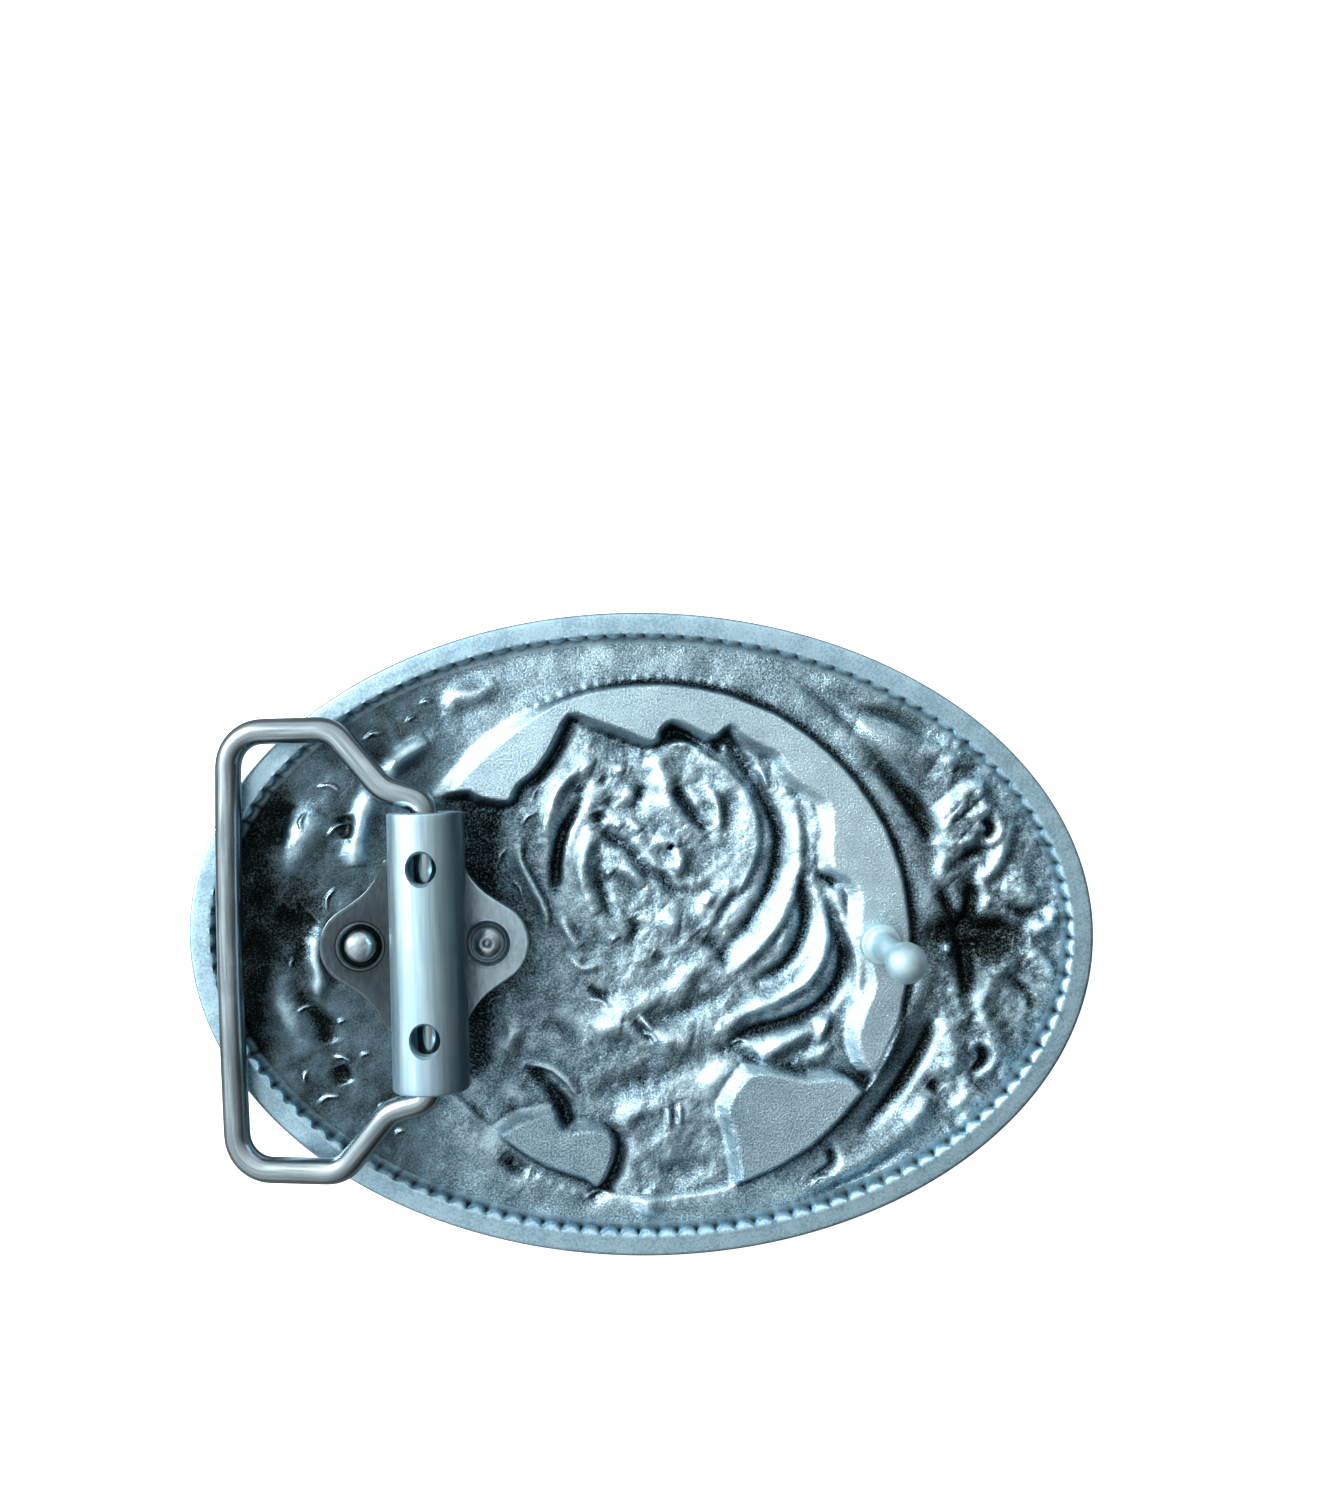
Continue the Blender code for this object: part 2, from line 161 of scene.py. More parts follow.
def insideShare(x, y, points, steepWidth, gentleWidth, steps=4):
    # 1 inside the closed outline and 0 outside it; the wall between is gentle where it faces the light; the
    # second value is painted light on that wall, brighter where it faces the light and darker where it faces
    # away
    path = softPath(points, steps, closed=True)
    ring = np.vstack([path, path[:1]])
    inside = np.zeros(x.shape, bool)
    for (ax, ay), (bx, by) in zip(ring, ring[1:]):
        crosses = (ay > y) != (by > y)
        inside ^= crosses & (x < (bx - ax) * (y - ay) / (by - ay + 1e-12) + ax)
    distance = nearPath(x, y, ring)[0]
    signed = np.where(inside, distance, -distance)
    faceX = np.gradient(signed, axis=1) / np.gradient(x, axis=1)
    faceY = np.gradient(signed, axis=0) / np.gradient(y, axis=0)
    facing = blurred(np.clip(0.35 + 0.2 * faceY - 0.95 * faceX, 0, 1), 6)
    width = steepWidth + (gentleWidth - steepWidth) * facing
    share = smoothStep(-0.35 * width, 0.65 * width, signed)
    return share, 4 * share * (1 - share) * (2.2 * facing - 0.7)


medallion = {"x": 1.3, "y": -0.8, "radius": 27.2, "top": 3.6, "wall": 0.75}
ring = {"floor": 2.6, "lumps": 0.1}
wallThickness = 1.3

# the rose and its leaves are hollow at the back: the outline of that hollow
hollow = {"floor": 2.15, "steepWall": 0.9, "gentleWall": 1.9, "outline": (
    (-7.8, 22.9), (-5, 22.2), (-2.4, 21.3), (0.2, 20.3), (1.5, 20.3), (2, 21.6), (3, 22.3), (4.6, 21.9),
    (6.4, 21), (7.7, 20.8), (9.2, 21.9), (10.6, 20.8), (12.6, 19.7), (14.3, 18.8), (15.2, 17),
    (17.4, 15.3), (19.2, 13.9), (19.7, 12), (19.6, 8), (20.2, 6.6), (22, 5.6), (22.8, 3.6), (22.7, 0),
    (23.7, -2.6), (24.3, -5.2), (23.3, -8), (22.6, -11), (23.8, -14.2), (26.5, -15.6), (24.5, -17.2),
    (22.6, -15.6), (20.4, -14.9), (17.6, -15.2), (14.8, -14.6), (12.6, -14.4), (10.9, -15), (8.9, -18.3),
    (9.8, -21.4), (10.5, -26.2), (10, -31), (-5.4, -31), (-4.9, -27.6), (-3.6, -25.9), (-2.6, -22.9),
    (-3.2, -21.1), (-5.6, -20.6), (-7.7, -20.9), (-8.5, -20), (-9.4, -18.9), (-12.8, -19.9), (-15, -21.6),
    (-16.2, -23.4), (-20, -28), (-33, -10), (-32, 12), (-20, 14.6), (-17.2, 14), (-14.2, 13.7),
    (-13.2, 15.4), (-11, 17.4), (-9.4, 20))}

# crests (rise over 0) and valleys (rise under 0) in the rose hollow:
# (rise, width on the left of the stroke, width on its right, then x and y of each point)
roseStrokes = (
    # three long petals on the hook side, each a soft crest with a deep valley outside it
    (0.55, 0.5, 1.9, 4.4, 19.6, 7.9, 17.8, 10.2, 15.6, 11.6, 13.2, 12.1, 10.3, 11.6, 7.4, 10.2, 4.6, 8.4,
     2.2, 6.6, 0.6),
    (-0.95, 0.75, 0.75, 8.4, 19.4, 10.8, 17.6, 12.7, 14.7, 14, 12.2, 14.5, 9.8, 14.1, 6.5, 12.7, 3.1, 10.8,
     0.3, 8.6, -2.4),
    (0.55, 0.65, 1, 15.4, 15, 16.2, 12.6, 16.6, 9.8, 16.5, 6.5, 15.5, 3.1, 13.6, -0.2, 11.3, -2.7, 8.9,
     -4.4),
    (0.6, 1.5, 1.3, 16.6, 15.2, 18.3, 13.2, 18.4, 9.8, 17.9, 6.4),
    (-0.95, 0.7, 0.7, 16.9, 5.8, 17.5, 2.6, 17, -0.7, 15.1, -3.5, 12.4, -5.2),
    (0.22, 0.6, 0.6, 15.4, 0.6, 15, -1.4),
    (0.58, 0.6, 0.8, 18, 5.6, 19.2, 2.6, 19.6, -0.3, 18.9, -3.1, 17, -5.5, 14.1, -7.2, 11.2, -8.4, 8.8,
     -10.2),
    (-1.2, 0.75, 0.8, 20.6, 1.8, 21.5, -2, 21.1, -5, 19.4, -7.4, 17, -8.9, 14.1, -9.9, 11.2, -10.8, 9,
     -12.4),
    (0.7, 0.9, 0.7, 20.6, 4.6, 21.6, 0.8, 23, -3.1, 23, -7, 21.8, -10.8),
    (-0.55, 0.4, 0.45, 18.8, 6.2, 19.9, 5.9, 20.6, 5),
    (0.55, 0.6, 0.7, 19.6, -8.4, 19.4, -10, 18.6, -11.6),
    # notches along the top
    (-1, 0.7, 0.8, 1.8, 19.9, 2.9, 21.2, 4.6, 21, 6.2, 20),
    (-0.9, 0.6, 0.7, 7.4, 19.4, 8.8, 20.6, 9.8, 19.6, 11.4, 17.9),
    (0.45, 0.35, 0.4, 2.6, 20, 4.4, 20.1, 6.4, 19.3),
    (0.5, 0.35, 0.35, 12.3, 17.6, 12.9, 16.4, 13.2, 15.2),
    (-0.85, 0.75, 0.65, -7.4, 22.2, -8.9, 19.9, -10.9, 16.9, -12.8, 15.4),
    (-0.3, 1.6, 1.6, -5.6, 20.6, -2.6, 20, -0.2, 19.4),
    # the heart
    (0.65, 1.3, 1.1, 1.4, 19, 2.1, 16.4, 3, 13.7, 4.4, 11.2),
    (-0.85, 0.7, 0.7, 3.6, 15.6, 4.3, 14.1, 5.7, 12.2, 7, 10.6),
    (0.55, 0.6, 0.6, 7, 15.4, 8.1, 13, 8, 10.6),
    (0.6, 0.8, 0.8, 1.2, 10.2, 2.4, 9.6, 4.2, 9.6),
    (0.7, 0.8, 0.8, 3.6, 9, 4, 7.4, 3.4, 6.4),
    (-0.8, 0.32, 0.32, 2.9, 9.3, 3.2, 8.9),
    (-0.75, 0.85, 0.7, -4.2, 11, -3.2, 9.8, -1.5, 8.9, -0.2, 7.7),
    (-0.7, 0.6, 0.85, -0.6, 8, 0.8, 6.6, 2.2, 5.9, 3.4, 4.6, 5.4, 4.2),
    (-0.6, 0.7, 0.7, -4.8, 12.8, -4.4, 11.6),
    (0.55, 0.6, 0.6, -4, 6.6, -3.2, 6),
    (0.65, 0.6, 0.8, -2.4, 6.9, -1.2, 6.5, 0.4, 4.8),
    (0.6, 0.9, 0.8, -5.4, 10.2, -6.2, 8, -6.3, 5.8, -5.3, 3.2, -4.6, 1.8),
    (-0.42, 0.55, 0.6, -4.3, 8.2, -4.3, 5.2, -3.6, 2.6, -3, 1.4),
    (-1.35, 0.6, 0.6, -6.6, 13.8, -8.4, 10.6, -9.1, 7.4, -9.2, 4.4),
    (0.65, 0.8, 0.7, -6.2, 17.6, -8.6, 15.6, -9.9, 12.6, -10.3, 9.8),
    (0.45, 0.8, 0.8, -6.4, 17.8, -5.2, 17.4),
    (0.4, 0.6, 0.6, -2.9, 17.5, -1.9, 17),
    (-0.35, 0.7, 0.7, -4.5, 16.4, -3.7, 15.8),
    (-0.35, 0.6, 0.6, -7, 15.4, -6, 14.6),
    (-0.35, 0.7, 0.7, -3.9, 14.2, -3.1, 13.2),
    (0.4, 0.8, 0.8, -2.2, 14.6, -0.6, 14.2),
    (-0.5, 0.6, 0.6, 0, 15.6, -0.4, 13.8),
    (0.35, 0.45, 0.45, -2.9, 11.6, -2.2, 11),
    (0.4, 0.5, 0.5, -1, 11.4, -0.2, 10.6),
    (0.5, 1.2, 1.2, 2, 2.2, 3.2, 1.2, 4.2, 1),
    (0.55, 0.6, 0.6, 7.6, 4.4, 6.6, 2.8),
    (-0.6, 0.5, 0.5, 10.2, 4.4, 9.3, 3.2, 8, 1.4),
    (-0.7, 1.1, 0.9, 6.6, -0.6, 8, -1.6, 9.6, -3.4),
    (0.5, 0.5, 0.5, -3.2, -0.4, -2.7, -1),
    (0.55, 0.55, 0.7, -8.6, 1.6, -7.6, -0.3, -6.4, -1.8),
    (0.5, 0.4, 0.45, -7.6, -2.8, -6.2, -3.8, -4.6, -3.6),
    (-0.5, 0.7, 0.7, -1.2, 1.6, -0.6, 0.2, -1.4, -1.6),
    (-0.45, 0.6, 0.6, 1.2, -2.4, 2.8, -3.2),
    (0.55, 0.35, 0.7, -13, 9.6, -12.8, 7.4, -11.4, 4.8, -10.1, 2.2, -9.9, 0.6),
    (0.4, 1.2, 1.1, 7.2, -2.2, 5.2, -4.4, 2.6, -6.4, -0.6, -7.9, -3, -8.4),
    (-0.55, 0.5, 0.5, -5.6, -5.8, -4.4, -6.7, -3.2, -6.9),
    (-0.55, 0.45, 0.55, -0.8, -9.4, 0.4, -10.6, 1.6, -11.6),
    (0.45, 0.3, 0.3, 0, -9, 1.4, -10.4),
    # the rose's lower lip and the leaves under it
    (-0.5, 0.9, 1, 9.6, -5.6, 7.4, -7.2, 4.2, -8.6, 0.6, -9.2),
    (0.5, 1.1, 1.3, -5.6, -11.4, -2.6, -10.2, 0.6, -10.6, 3.6, -11.6, 7, -11.4),
    (0.65, 1.1, 1, 12.4, -13.4, 14.2, -12.2, 16.2, -11, 18.6, -10),
    (0.45, 0.9, 0.9, 17, -13.4, 18.8, -12.8, 20.4, -11.6),
    (-0.5, 0.8, 0.7, 9.2, -12.6, 11, -12.8, 12.6, -14.2),
    (0.45, 1, 1.6, 10.4, -13.8, 8.4, -15.4, 6.8, -17.4),
    (0.35, 0.8, 1.2, 3.6, -17.9, 1, -18.6, -0.9, -19.4, -1.8, -21),
    (-0.45, 1.6, 1.2, -4.6, -18.4, -1.6, -16.6, 2.6, -15.4, 6.2, -14.6),
    (-0.8, 0.75, 0.6, -11.6, -14.6, -9.8, -16.4, -8.2, -18.4, -7.4, -20.6),
    (0.55, 0.35, 0.6, -6.6, -17.4, -7.8, -15.8, -9.6, -14.5, -12.2, -14.1),
    (0.75, 1.1, 1, -13.4, -10, -13.8, -11.4, -14.6, -12.6),
    (0.45, 1.3, 1.3, -5.2, -10.4, -3.4, -9.6, -1.8, -9.8),
    (0.45, 1.3, 1.1, 1.8, -11.8, 3.8, -11, 5.6, -11.4),
    (-0.4, 0.9, 0.9, -10.6, -9.6, -8, -10.6, -6.6, -12.4),
    (0.5, 1.2, 1.4, -9.6, -18.6, -12.4, -17.6, -14.4, -15.6),
    (-0.9, 0.8, 0.7, -2, -22, -2.4, -24.8, -3.6, -27, -5.4, -28.4),
    (0.4, 0.35, 0.35, 3, -18.6, 3.1, -20.6),
    (0.35, 0.3, 0.3, 4.2, -18.4, 4.3, -20.4),
    (-0.4, 1.2, 1.2, 2, -25.4, 5.2, -25.2, 8.2, -24.6),
    (0.6, 1.1, 1.1, 0.2, -27.6, 1, -28.8, 0.8, -30),
)

# leaves, ribbons and curls in the ring, as above
ringStrokes = (
    (0.3, 0.16, 0.16, 26.7, 2.1, 26.1, 2.7, 25.5, 2.1, 26.1, 1.5, 26.7, 2.1),
    (0.35, 1, 1, 12.6, 27.6, 17.4, 24.6, 22, 19.8, 26, 14.2, 29, 8, 30, 3.2),
    (-0.4, 0.6, 0.7, 16.6, 26.6, 20.6, 23.4, 24.4, 19.6, 27, 16.6),
    (-1.1, 1, 1, 24.6, 18.2, 27.4, 15.4, 29.8, 12.2, 30.6, 9.4),
    (0.75, 1.1, 1, 22.2, 22, 24.8, 21, 28, 19.4, 30.8, 17.8),
    (-0.5, 0.6, 0.6, 22.6, 24, 26.4, 23.2, 30.4, 21),
    (0.35, 0.7, 0.7, 19, 27.4, 23.4, 26, 27.6, 24),
    (0.6, 0.8, 0.7, 30.2, -2.6, 28.9, -7, 26.4, -12, 23.6, -16.4, 19.8, -20.6, 14, -24.8),
    (0.5, 0.25, 0.35, 27.8, -8.4, 26.6, -11.6, 24.6, -15.6),
    (-1.05, 0.7, 0.8, 31.4, -8.6, 29.7, -12.6, 27.2, -16.6, 24, -20.6),
    (-0.7, 0.5, 0.5, 20.2, -22.6, 20.4, -24.4, 18.2, -26),
    (0.4, 0.7, 0.7, 30, -19, 26.4, -22.2, 21.6, -25, 16.4, -27.4),
    (-0.4, 0.6, 0.6, 28.6, -22.2, 24.6, -25, 19, -27.6),
    # the star-shaped hollow at the end of the long axis
    (-1.2, 1.3, 1.3, 31, 0.2, 34.2, 0.4, 37.4, 0.2, 39.6, 0.2),
    (-1, 0.8, 0.8, 34.2, -1, 34.8, 2.6, 35.3, 5.6),
    (-1, 0.8, 0.8, 34.2, 0.8, 34.4, -3.2, 34.7, -7),
    (-0.6, 0.7, 0.7, 33.6, 1.4, 31.6, 4.8),
    (0.6, 0.5, 0.5, 32.2, -1.9, 32.9, -0.4),
    (0.6, 0.3, 0.3, 33.9, -1, 35.8, -1),
    # curls above the long axis
    (0.45, 0.6, 0.7, 31.2, 16.6, 33.4, 16, 35.6, 15.8, 35.8, 13.4, 34.6, 10.4, 32.8, 9.8, 31.8, 12, 33.2,
     14.2),
    (0.8, 1.7, 1.5, 32.4, 15.4, 34.4, 13.2),
    (0.6, 1.3, 1.3, 32.2, 12.6, 34.2, 10.8),
    (-0.7, 0.45, 0.45, 36, 12.4, 36.9, 11.4, 36.4, 10.4),
    (0.5, 0.45, 0.45, 35.4, 13.4, 37.4, 13, 37.8, 11, 36.6, 9.6),
    (0.6, 0.55, 0.55, 38.8, 12.6, 38.7, 10.2, 37.6, 7.6, 36, 5.8, 36.8, 4.2),
    (0.6, 0.6, 0.6, 32.6, 9, 31.8, 7, 33, 5.6),
    (0.5, 0.7, 0.6, 38, 5.4, 40.2, 4.8, 41.8, 3.6),
    (0.6, 0.5, 0.6, 41.2, 0.5, 43, 1.5, 43.8, 3.2),
    (-0.5, 0.6, 0.6, 38.6, 3.2, 40.6, 2.4, 42.2, 3),
    (-0.5, 0.6, 0.6, 33.6, 7.6, 35.2, 8.8, 37, 9),
    (0.45, 0.6, 0.6, 29.4, 20.4, 32.4, 18.6, 33, 17.4),
    # curls below it
    (0.6, 0.5, 0.6, 41, -1.6, 42.8, -2.8, 43.6, -4.8),
    (0.5, 0.6, 0.6, 37, -4.2, 38.4, -3.2, 40, -2.6),
    (0.6, 0.6, 0.6, 37.2, -5, 36, -6.8, 36.4, -9, 37.8, -11.2, 38.4, -14.4),
    (0.75, 0.8, 0.9, 32.2, -8.6, 32.6, -10.4, 33.2, -12.8, 32.2, -14.2),
    (-0.7, 0.45, 0.45, 36.2, -11.6, 36.3, -13.2, 35.2, -14.4),
    (0.5, 0.4, 0.4, 34.4, -12.4, 35.6, -11.2, 37.2, -11.8, 37.2, -13.6, 35.8, -15.2),
    (0.65, 0.9, 0.8, 35.6, -15.8, 34.4, -17, 33, -18.4),
    (0.6, 0.8, 0.7, 30.6, -17.2, 29.6, -18.6, 28, -19.8),
    (-0.5, 0.6, 0.6, 39.4, -4.6, 41, -6, 41.6, -8),
    (-0.6, 0.7, 0.6, 30.6, -15.6, 31.8, -16.6),
    (0.4, 0.7, 0.7, 37.6, -16, 36, -18.6, 33.6, -20.6),
    # under and beside the bail
    (0.75, 0.7, 0.6, -27.2, 16.4, -25.4, 18.4, -22.6, 20.2),
    (0.7, 0.8, 0.7, -28.4, 14.6, -29.8, 11.8, -30.4, 8.4, -30.2, 6.6),
    (0.6, 0.6, 0.6, -34.2, -0.4, -34.4, -2.8, -34, -5.2, -34.4, -7.2),
    (0.6, 0.6, 0.7, -20.6, 23.2, -19.8, 24.8, -17.4, 25.2, -15.6, 26.6),
    (-0.6, 0.9, 0.9, -31.6, 12.2, -31.2, 9.6),
    (-0.6, 0.9, 0.9, -32, -14.4, -31.2, -16.4),
    (-0.7, 1.4, 1.2, -39, 1.2, -36.4, 0.4, -35, 1.6),
    (-0.5, 1, 1, -38.8, 8.6, -38.4, 11.2, -37, 13.6),
    (0.4, 1, 1, -37.6, 5.6, -36.2, 9.4, -34, 12.6),
    (0.4, 1, 1, -38.2, -4.6, -37, -9.4, -34.6, -13.6),
    (-0.5, 1, 1, -36.6, -6.6, -33.8, -9.6, -32.8, -12.2),
    (-0.7, 0.9, 0.8, -14.6, -23.6, -13.2, -25, -11.6, -25.6),
    (0.4, 1, 1, -19.4, -20.6, -16.6, -24.4, -12.2, -27.4),
)
nicks = (  # short casting scratches: (x, y, heading in degrees, length)
    (-33.2, 15, -12, 2.2), (-32.2, 10.7, 30, 2.4), (-31.6, -13.7, -14, 1.6), (-33, -18, 18, 2.2),
    (-35.6, -8.4, 22, 1.3), (-33, 3.2, 70, 2.4), (-36, 11.4, 84, 1.6), (-28.6, 20.6, 18, 1.8),
    (-23, 24.2, 4, 1), (-35.4, -15.6, 80, 1.2), (-27.4, -18.8, 60, 1), (-4.4, -7.6, -22, 2),
    (1, -11.2, -40, 1.6), (-12, 12, 40, 1.8), (-31.8, -9.8, 30, 0.9), (19.2, -26, 26, 1.6),
    (-14.8, 8, 60, 1.6), (-13.2, 4.4, -60, 2), (-15.6, -7.4, 30, 1.4), (-11.4, 14.6, 70, 1.2),
    (-24.6, 22.4, 30, 0.8), (-37, -3.6, 80, 0.9), (-30.4, 17.4, 50, 0.8), (-25.4, -21.4, 20, 1),
    (-4.2, -27.9, 6, 2.6), (35, -1, 0, 1.4), (10.6, -11.7, 10, 1.8), (-29.2, -13.2, 20, 0.8),
)


def backHeight(x, y):
    # ring floor, plus the medallion's step, less the rose hollow, plus every stroke, dent and lump
    away = np.hypot(x - medallion["x"], y - medallion["y"])
    wobble = 0.12 * lumps(x, y, 3.0, 5)
    wall = medallion["wall"] + 1.5 * smoothStep(-8, -15, x) * smoothStep(8, 14, y)
    wobble -= 0.9 * smoothStep(-3, -6, x) * smoothStep(-15, -19, y)
    disc = smoothStep(-wall / 2, wall / 2, medallion["radius"] + wobble - away)
    cut, litWall = insideShare(x + 0.1 * lumps(x, y, 1.4, 11), y, hollow["outline"],
                               hollow["steepWall"], hollow["gentleWall"], 3)
    plateau = disc * (1 - cut)
    rough = lumps(x, y, 2.6, 21, 4)
    left = smoothStep(-17, -26, x)
    height = ring["floor"] + ring["lumps"] * rough * (1 - plateau) + 0.16 * left * lumps(x, y, 4.4, 31, 3)
    height -= (ring["floor"] - hollow["floor"]) * disc * cut * (1 - 0.8 * left)
    height += (medallion["top"] - ring["floor"]) * plateau
    petals = np.zeros_like(x)
    for rise, leftWidth, rightWidth, *points in roseStrokes:
        addStroke(petals, x, y, 1.3 * rise, leftWidth, rightWidth, points)
    petals = np.where(petals > 0, petals, 0.72 * petals) * (1 - plateau)
    height += petals
    scrolls = np.zeros_like(x)
    for rise, leftWidth, rightWidth, *points in ringStrokes:
        swell = 1.5 if rise > 0 else 1.0
        addStroke(scrolls, x, y, 1.05 * rise, leftWidth * swell, rightWidth * swell, points)
    scrolls *= 1 - 0.9 * disc
    height += scrolls
    dig = np.zeros_like(x)
    for nx, ny, heading, length in nicks:
        turn = math.radians(heading)
        half = length / 2
        bow = 0.16 * length
        start = (nx - half * math.cos(turn), ny - half * math.sin(turn))
        middle = (nx - bow * math.sin(turn), ny + bow * math.cos(turn))
        stop = (nx + half * math.cos(turn), ny + half * math.sin(turn))
        addStroke(dig, x, y, 0.34, 0.16, 0.16, (start, middle, stop), steps=3)
    height += dig
    rose = disc * cut * (1 - left)
    heart = rose * np.exp(-((x - 1) / 12) ** 4 - ((y - 7) / 12) ** 4)
    height += rose * (0.14 * lumps(x, y, 1.5, 41, 3) + 0.22 * lumps(x, y, 3.4, 51, 2))
    height += heart * (0.22 * lumps(x, y, 2.3, 55, 2) + 0.05 * lumps(x, y, 0.9, 57, 2))
    floral = smoothStep(29, 33, x) * (1 - disc)
    height += floral * (0.3 * lumps(x, y, 2.0, 61, 3) + 0.1 * lumps(x, y, 1.0, 63, 2))
    return np.clip(height, 1.05, 3.95), plateau, disc, rose, left, scrolls, dig, litWall * disc, petals


print("relief functions ready")


def newMaterial(name):
    made = bpy.data.materials.new(name)
    made.use_nodes = True
    return made, made.node_tree, made.node_tree.nodes["Principled BSDF"]


def node(tree, kind, **values):
    made = tree.nodes.new(kind)
    for key, value in values.items():
        setattr(made, key, value)
    return made


def join(tree, socket, value):
    # links the input to an output, or gives it a value
    if isinstance(value, bpy.types.NodeSocket):
        tree.links.new(value, socket)
    elif value is not None:
        socket.default_value = value


def feed(tree, target, **inputs):
    for label, value in inputs.items():
        join(tree, target.inputs[label.replace("_", " ")], value)
    return target


def ramp(tree, source, stops, ease="EASE"):
    made = node(tree, "ShaderNodeValToRGB")
    made.color_ramp.interpolation = ease
    while len(made.color_ramp.elements) < len(stops):
        made.color_ramp.elements.new(0.5)
    for element, (place, colour) in zip(made.color_ramp.elements, stops):
        element.position = place
        element.color = (*colour, 1) if isinstance(colour, tuple) else (colour, colour, colour, 1)
    return feed(tree, made, Fac=source).outputs["Color"]


def mixColour(tree, share, first, second, blend="MIX"):
    made = node(tree, "ShaderNodeMix", data_type="RGBA", blend_type=blend)
    for index, value in ((0, share), (6, first), (7, second)):
        join(tree, made.inputs[index], (*value, 1) if isinstance(value, tuple) else value)
    return made.outputs[2]


def maths(tree, operation, first, second=0.0, third=None, clamp=False):
    made = node(tree, "ShaderNodeMath", operation=operation, use_clamp=clamp)
    for socket, value in zip(made.inputs, (first, second, third)):
        join(tree, socket, value)
    return made.outputs[0]


def centred(tree, value):
    return maths(tree, "SUBTRACT", value, 0.5)


def attribute(tree, name, output="Fac"):
    return node(tree, "ShaderNodeAttribute", attribute_name=name).outputs[output]


def newGroup(name, inputs, outputs):
    # a node group whose inputs start at the values given; one that starts at None is a vector
    group = bpy.data.node_groups.new(name, "ShaderNodeTree")
    for label, start in inputs.items():
        kind = "NodeSocketVector" if start is None else "NodeSocketFloat"
        socket = group.interface.new_socket(label, in_out="INPUT", socket_type=kind)
        if start is not None:
            socket.default_value = start
    for label in outputs:
        group.interface.new_socket(label, in_out="OUTPUT", socket_type="NodeSocketFloat")
    return group, node(group, "NodeGroupInput").outputs, node(group, "NodeGroupOutput")


def makeGrainGroup():
    # cast grain: fine noise, also with its contrast raised about its middle, and coarse noise for clouds
    group, given, out = newGroup("castGrain", {"Size": 4000.0, "Cloud Size": 260.0, "Contrast": 1.0},
                                 ("Speckle", "Cloud", "Height"))
    place = node(group, "ShaderNodeTexCoord").outputs["Object"]
    fine = feed(group, node(group, "ShaderNodeTexNoise", noise_dimensions="3D"),
                Vector=place, Scale=given["Size"], Detail=3, Roughness=0.65).outputs["Fac"]
    cloud = feed(group, node(group, "ShaderNodeTexNoise", noise_dimensions="3D"),
                 Vector=place, Scale=given["Cloud Size"], Detail=4).outputs["Fac"]
    scaled = maths(group, "MULTIPLY", centred(group, fine), given["Contrast"])
    feed(group, out, Speckle=maths(group, "ADD", scaled, 0.5, clamp=True), Cloud=cloud, Height=fine)
    return group


def makeStreakGroup():
    # drawn lines: noise on coordinates that are stretched more across the lines than along them
    group, given, out = newGroup(
        "drawnLines", {"Place": None, "Across": 3000.0, "Along": 60.0, "Turn": 0.0}, ("Lines",))
    turned = feed(group, node(group, "ShaderNodeVectorRotate", rotation_type="Z_AXIS"),
                  Vector=given["Place"], Angle=given["Turn"])
    sizes = feed(group, node(group, "ShaderNodeCombineXYZ"),
                 X=given["Across"], Y=given["Along"], Z=given["Across"])
    stretch = node(group, "ShaderNodeVectorMath", operation="MULTIPLY")
    join(group, stretch.inputs[0], turned.outputs["Vector"])
    join(group, stretch.inputs[1], sizes.outputs[0])
    lines = feed(group, node(group, "ShaderNodeTexNoise"), Vector=stretch.outputs[0], Scale=1.0, Detail=2)
    feed(group, out, Lines=lines.outputs["Fac"])
    return group


castGrain = makeGrainGroup()
drawnLines = makeStreakGroup()


def useGroup(tree, group, **values):
    return feed(tree, node(tree, "ShaderNodeGroup", node_tree=group), **values).outputs


def bump(tree, height, strength, depth):
    return feed(tree, node(tree, "ShaderNodeBump"), Height=height, Strength=strength,
                Distance=depth * mm).outputs["Normal"]


castLook = {"pale": (0.69, 0.9, 0.985), "middle": (0.185, 0.31, 0.4), "dark": (0.006, 0.01, 0.011),
            "warm": (0.26, 0.19, 0.12), "grain": 5000.0, "cloud": 420.0, "contrast": 3.6, "cloudShare": 0.35,
            "speckleShare": 0.22, "speckleWithShading": 0.55, "roughness": 0.27, "roughSpread": 0.1,
            "bumpDepth": 0.1}


def makeCastSilver():
    # antique silver: pale metal, darkened by a vertex value that holds patina in its hollows together with
    # painted shade and painted highlights, speckled by the cast grain
    made, tree, shader = newMaterial("castSilver")
    look = castLook
    patinaAndShading, sandy = attribute(tree, "patinaAndShading"), attribute(tree, "sandy")
    grain = useGroup(tree, castGrain, Size=look["grain"], Cloud_Size=look["cloud"],
                     Contrast=look["contrast"])
    speckle = maths(tree, "MULTIPLY", centred(tree, grain["Speckle"]), sandy)
    cloudedShading = maths(tree, "MULTIPLY_ADD", centred(tree, grain["Cloud"]), look["cloudShare"], patinaAndShading)
    weight = maths(tree, "MULTIPLY_ADD", patinaAndShading, look["speckleWithShading"], look["speckleShare"])
    toneAndShading = maths(tree, "MULTIPLY_ADD", speckle, weight, cloudedShading, clamp=True)
    colour = ramp(tree, toneAndShading, ((0.0, look["pale"]), (0.5, look["middle"]), (1.0, look["dark"])), "LINEAR")
    tinted = mixColour(tree, attribute(tree, "warmth"), colour, look["warm"], "SOFT_LIGHT")
    feed(tree, shader, Base_Color=tinted, Metallic=1.0,
         Roughness=maths(tree, "MULTIPLY_ADD", toneAndShading, look["roughSpread"], look["roughness"]),
         Normal=bump(tree, grain["Height"], sandy, look["bumpDepth"]))
    return made


